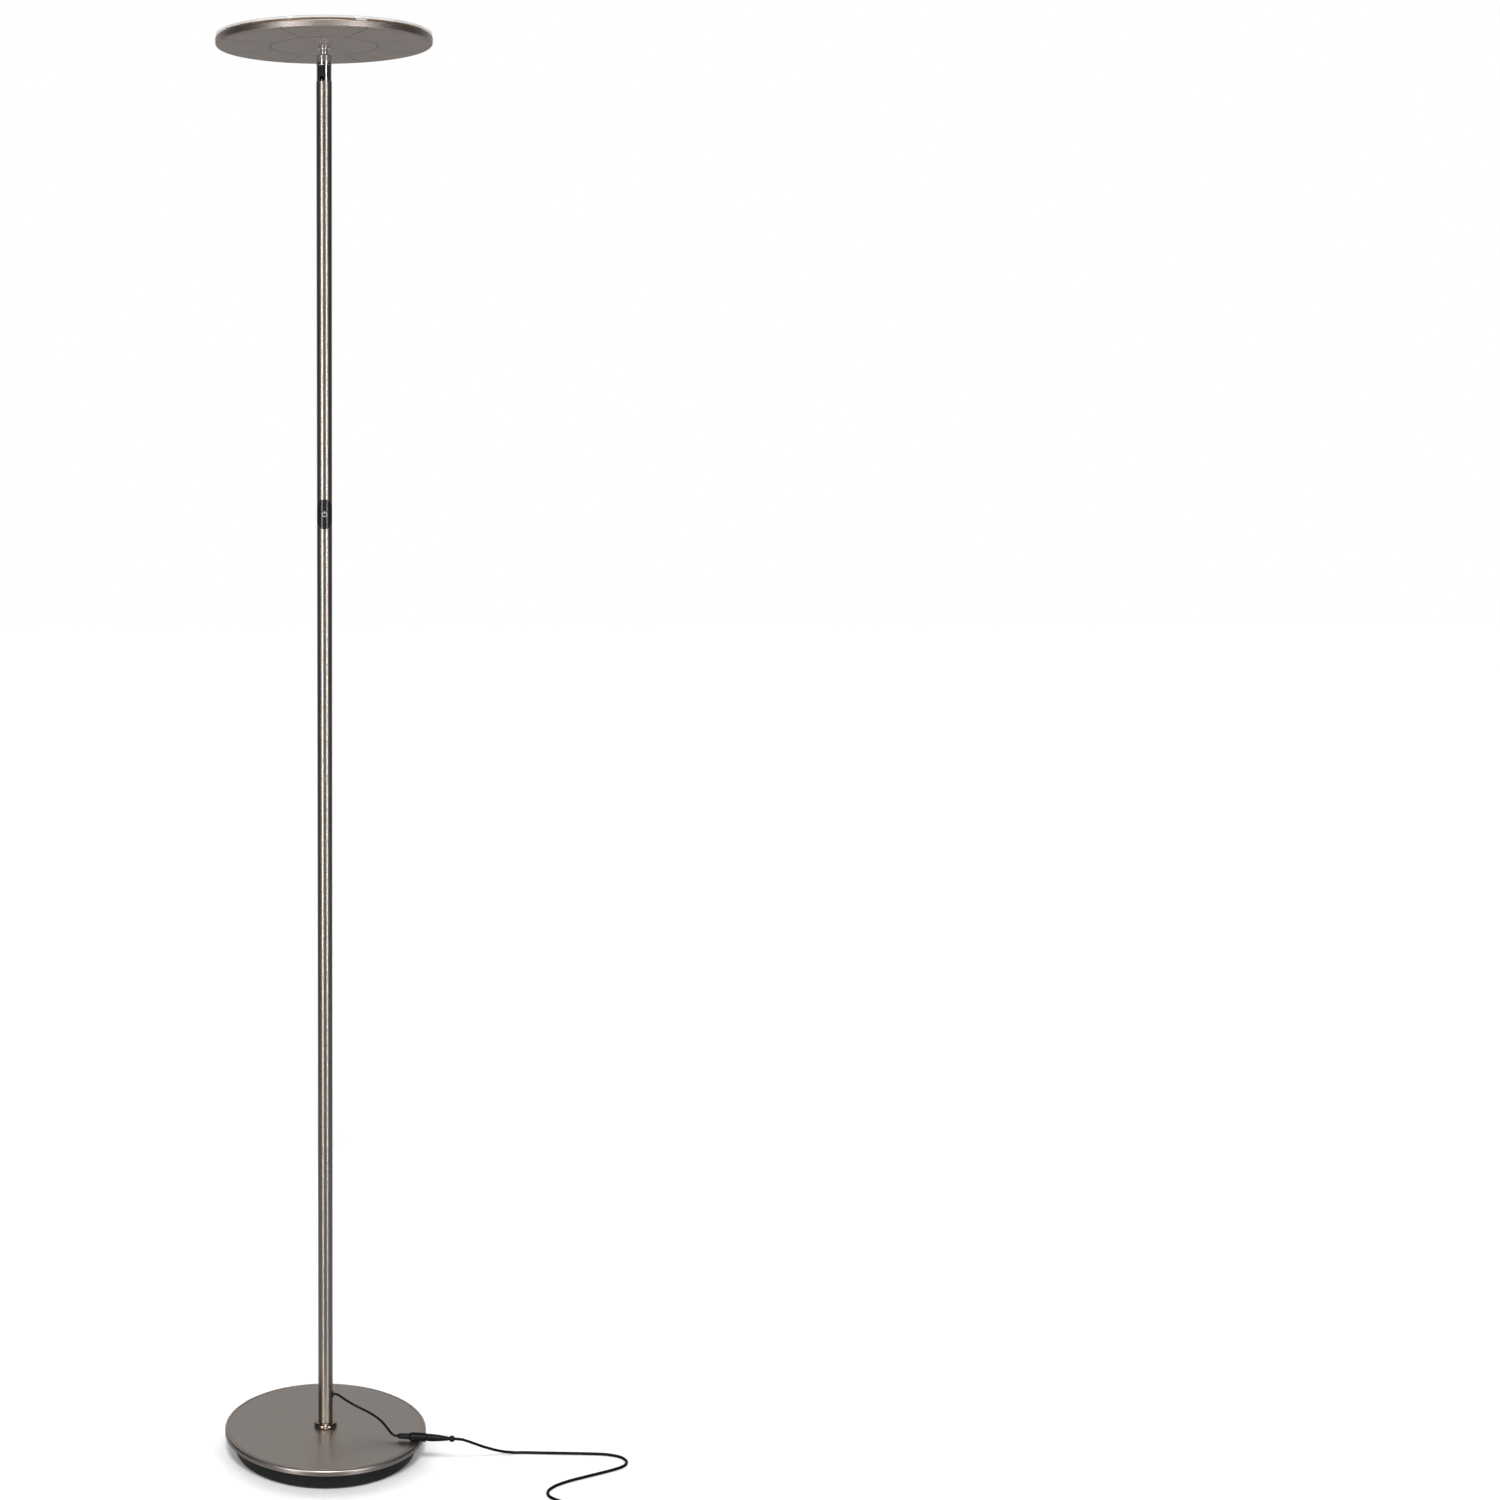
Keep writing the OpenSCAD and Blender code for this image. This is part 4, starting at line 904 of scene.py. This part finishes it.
def cord_tie():
    """A flat strap round the coil's section, with a small folded end on the outside."""
    t, w, inner, outer, tall = 0.6, 8.0, 15.1, 26.4, 10.5
    half = [(outer - inner) / 2 + t / 2, tall / 2 + t / 2]
    centre, normal = rectangle(half[0], half[1], 1.2, 8)
    loop = centre + normal * 1.2
    section = np.array([(-w / 2, -t / 2), (-w / 2 + 0.2, t / 2), (w / 2 - 0.2, t / 2), (w / 2, -t / 2)])
    out = loop[:, None] + normal[:, None] * section[None, :, 1:]
    side = np.broadcast_to(section[None, :, :1], out.shape[:2] + (1,))
    points = np.concatenate([out[..., :1] + (inner + outer) / 2, side, out[..., 1:] + tall / 2 + t], -1)
    band = grid(points, close_u=True, close_v=True)
    buckle = pillow(rectangle(2.2, 4.6, 0.8), 0.8, [(0, 0), (0, 1.0), (0.3, 1.4), (0.8, 1.4)])
    stand_up = np.array([[0, 0, 1], [0, 1, 0], [-1, 0, 0]])
    buckle = moved(buckle, stand_up, (outer + t, 0, tall / 2 + t))
    turn = math.radians(20)
    spin = np.array([[math.cos(turn), -math.sin(turn), 0], [math.sin(turn), math.cos(turn), 0], [0, 0, 1]])
    points, faces, uvs = moved(combined([band, buckle]), spin, (*COIL_AT, 0))
    return piece("cord_tie_strap", (points * MM, faces, uvs), "stand", ["cord_tie"], TIE_BLACK)


def adapter():
    """Wall adapter: a moulded box in two halves with a seam and a shallow panel on top.

    A ribbed relief holds the cord, and two blades stand out at the other end.
    """
    low, high = corners("power_adapter")
    size = (high - low) / MM
    half_x, half_y, tall = size[0] / 2, size[1] / 2, size[2]
    soft = [(3 * (1 - math.sin(a)), 3 * (1 - math.cos(a))) for a in np.linspace(0, math.pi / 2, 6)]
    rows = [(8, 0), (5, 0)] + soft
    rows += [(0, tall / 2 - 0.5), (0.3, tall / 2 - 0.25), (0.3, tall / 2 + 0.25), (0, tall / 2 + 0.5)]
    rows += [(inset, tall - up) for inset, up in soft[::-1]]
    rows += [(5, tall), (6.4, tall), (6.8, tall - 0.5), (7.2, tall - 0.5), (12, tall - 0.5)]
    box = pillow(rectangle(half_x, half_y, 4, 8), 4, rows)
    centre = ((low + high) / 2)[:2]
    box = (box[0] * MM, box[1], box[2])
    body = piece("power_adapter_case", moved(box, to=(*centre, low[2])), "stand", ["power_adapter"],
                 ADAPTER_BLACK)
    outline = [(0, 0.02, 0), (2.45, 0.02, 0.4)] + ribs(1.5, 6, 3.0, 2.6, 3.2)
    outline += [(3.4, 19.8, 0.3), (4.2, 20.6, 0.5), (4.2, 22, 0), (0, 22, 0)]
    sleeve = moved(lathe(rounded(outline, 3), 48), axes_along((-1, 0, 0)),
                   np.array([RELIEF_X, TAIL_Y, ADAPTER_Z]) * MM)
    relief = piece("adapter_relief_sleeve", sleeve, "stand", ["adapter_relief"],
                   CONNECTOR_BLACK)
    low, high = corners("adapter_blades")
    length, tall = (high[0] - low[0]) / MM, (high[2] - low[2]) / MM
    thick, spacing = 1.5, 12.7
    blade = pillow(rectangle(length / 2, tall / 2, 1.6, 6), 1.6,
                   [(0.5, -thick / 2), (0, -thick / 2 + 0.3), (0, thick / 2 - 0.3), (0.5, thick / 2)])
    upright = np.array([[1, 0, 0], [0, 0, -1], [0, 1, 0]])
    middle = (low + high) / 2 / MM
    pair = [moved(blade, upright, middle + np.array([0.4, side * spacing / 2, 0])) for side in (-1, 1)]
    points, faces, uvs = combined(pair)
    points[:, 0] = np.clip(points[:, 0], low[0] / MM, None)
    surface = (points * MM, faces, uvs)
    blades = piece("adapter_blade_pair", surface, "stand", ["adapter_blades"], BRASS)
    return [relief, body, blades]


def supply_cord():
    """The supply cord: from the plug down to the floor, out and back, into a coil, and into its adapter."""
    flat = smooth_route(CORD_ROUTE, 2.5)
    wound = coil_route()
    tail = smooth_route([wound[-1]] + TAIL_ROUTE, 2.5)[1:]
    path = np.concatenate([flat, wound, tail]) * MM
    cable = piece("supply_cord_cable", tube(path, CORD_D / 2 * MM, 12), "stand",
                  ["supply_cord", "supply_cord_coil", "coil_tail"], JACKET)
    [dc_plug(), frame["nodes"]["plug_sleeve"], cord_tie()] + adapter()


# ---------------------------------------------------------------- camera, studio and floor

STRIP_TURN, STRIP_AWAY, STRIP_WIDE = 35, 3.0, 0.34
STRIP_LEFT, STRIP_RIGHT = 12.5, 10.5
STRIP_LEVELS = [(-1.5, -0.9, 0.45), (-0.9, -0.4, 0.55), (-0.4, 0.1, 0.8), (0.1, 1.5, 1.0), (1.5, 2.8, 0.8)]
KEY_TILT, KEY_SPREAD, KEY_STRENGTH = 38, 12, 1.7
BEHIND_SPAN, BELOW_SPAN = (0.45, 0.85), (-0.2, -0.5)
SKY_SIDE, SKY_BEHIND, SKY_FLOOR = 0.03, 0.50, 0.36
DOME_FRONT, DOME_BACK, DOME_SPAN = 0.25, 1.2, (-0.4, 0.4)

def camera():
    """The camera stands 2.6 m off, a little above half the lamp's height, and looks slightly down."""
    data = bpy.data.cameras.new("camera")
    data.sensor_width, data.lens, data.shift_x = 36, 53.64, 0.2837
    view = bpy.data.objects.new("camera", data)
    view.location = (0, -2.639, 1.256)
    view.rotation_euler = (math.radians(90 - 8.11), math.radians(0.065), 0)
    bpy.context.scene.collection.objects.link(view)
    bpy.context.scene.camera = view


def softbox(name, azimuth, distance, height, size, watts, tone=(1, 1, 1)):
    """A soft panel that faces the lamp. Azimuth 0 is the front."""
    data = bpy.data.lights.new(name, "AREA")
    data.shape = "RECTANGLE"
    data.size, data.size_y = size
    data.energy, data.color = watts, tone
    light = bpy.data.objects.new(name, data)
    a = math.radians(azimuth)
    place = np.array([distance * math.sin(a), -distance * math.cos(a), height])
    light.location = place
    light.rotation_euler = (math.radians(90), 0, a)
    light.visible_camera = False
    bpy.context.scene.collection.objects.link(light)
    return light


def studio():
    """Two tall strips in front, a soft key light from above them, and a sky of three parts.

    The camera sees plain white. Matt surfaces see a dome that is brighter behind the lamp. Gloss sees grey
    behind the lamp and below, and dark sides. Each strip is a stack of panels, so that its brightness can
    change with height.
    """
    for side, gain in ((-1, STRIP_LEFT), (1, STRIP_RIGHT)):
        for low, high, level in STRIP_LEVELS:
            wide, tall = STRIP_WIDE, high - low
            softbox("strip", side * STRIP_TURN, STRIP_AWAY, (low + high) / 2, (wide, tall),
                    gain * level * math.pi * wide * tall)
    data = bpy.data.lights.new("key", "SUN")
    data.energy, data.angle = KEY_STRENGTH, math.radians(KEY_SPREAD)
    key = bpy.data.objects.new("key", data)
    key.rotation_euler = (math.radians(KEY_TILT), 0, 0)
    bpy.context.scene.collection.objects.link(key)
    world = bpy.data.worlds.new("studio")
    bpy.context.scene.world = world
    world.use_nodes = True
    tree = world.node_tree
    tree.nodes.clear()

    def node(kind, **settings):
        """A node of the sky's tree, with its settings."""
        made = tree.nodes.new(kind)
        for setting, value in settings.items():
            setattr(made, setting, value)
        return made

    def sky(colour):
        """A plain grey background of that brightness."""
        made = node("ShaderNodeBackground")
        made.inputs["Color"].default_value = (colour, colour, colour, 1)
        return made

    def choose(factor, otherwise, chosen):
        """The first shader where the factor is 0, and the second where it is 1."""
        made = node("ShaderNodeMixShader")
        for socket, source in zip(made.inputs, (factor, otherwise.outputs[0], chosen.outputs[0])):
            tree.links.new(source, socket)
        return made

    path, place = node("ShaderNodeLightPath"), node("ShaderNodeTexCoord")
    apart = node("ShaderNodeSeparateXYZ")
    behind = node("ShaderNodeMapRange", interpolation_type="SMOOTHSTEP")
    tree.links.new(place.outputs["Generated"], apart.inputs[0])
    tree.links.new(apart.outputs["Y"], behind.inputs["Value"])
    behind.inputs["From Min"].default_value, behind.inputs["From Max"].default_value = BEHIND_SPAN
    below = node("ShaderNodeMapRange", interpolation_type="SMOOTHSTEP")
    tree.links.new(apart.outputs["Z"], below.inputs["Value"])
    below.inputs["From Min"].default_value, below.inputs["From Max"].default_value = BELOW_SPAN
    gloss = choose(behind.outputs[0], sky(SKY_SIDE), sky(SKY_BEHIND))
    gloss = choose(below.outputs[0], gloss, sky(SKY_FLOOR))
    depth = node("ShaderNodeMapRange", interpolation_type="SMOOTHSTEP")
    tree.links.new(apart.outputs["Y"], depth.inputs["Value"])
    depth.inputs["From Min"].default_value, depth.inputs["From Max"].default_value = DOME_SPAN
    dome = choose(depth.outputs[0], sky(DOME_FRONT), sky(DOME_BACK))
    seen = choose(path.outputs["Is Diffuse Ray"], gloss, dome)
    seen = choose(path.outputs["Is Transmission Ray"], seen, sky(1.0))
    seen = choose(path.outputs["Is Camera Ray"], seen, sky(1.0))
    tree.links.new(seen.outputs[0], node("ShaderNodeOutputWorld").inputs["Surface"])
    bpy.context.scene.view_settings.view_transform = "Standard"


def floor():
    """A plain pale floor."""
    f = Finish("pale_floor", Roughness=0.9, Specular_IOR_Level=0.0)
    f.set(Base_Color=f.mix(f.noise(2, 2), (0.90, 0.90, 0.90), (0.92, 0.92, 0.92)))
    mesh = bpy.data.meshes.new("floor")
    side = 12
    square = [(-side, -side, 0), (side, -side, 0), (side, side, 0), (-side, side, 0)]
    mesh.from_pydata(square, [], [(0, 1, 2, 3)])
    mesh.materials.append(f.material)
    plane = bpy.data.objects.new("floor", mesh)
    bpy.context.scene.collection.objects.link(plane)
    plane.visible_glossy = False


camera()
lamp_lead()
supply_cord()
studio()
floor()
base_cover()
base_pan()
foot_pads()
foot_collar()
pole_tubes()
cord_grommet()
switch()
neck()
head_dish()
lens()
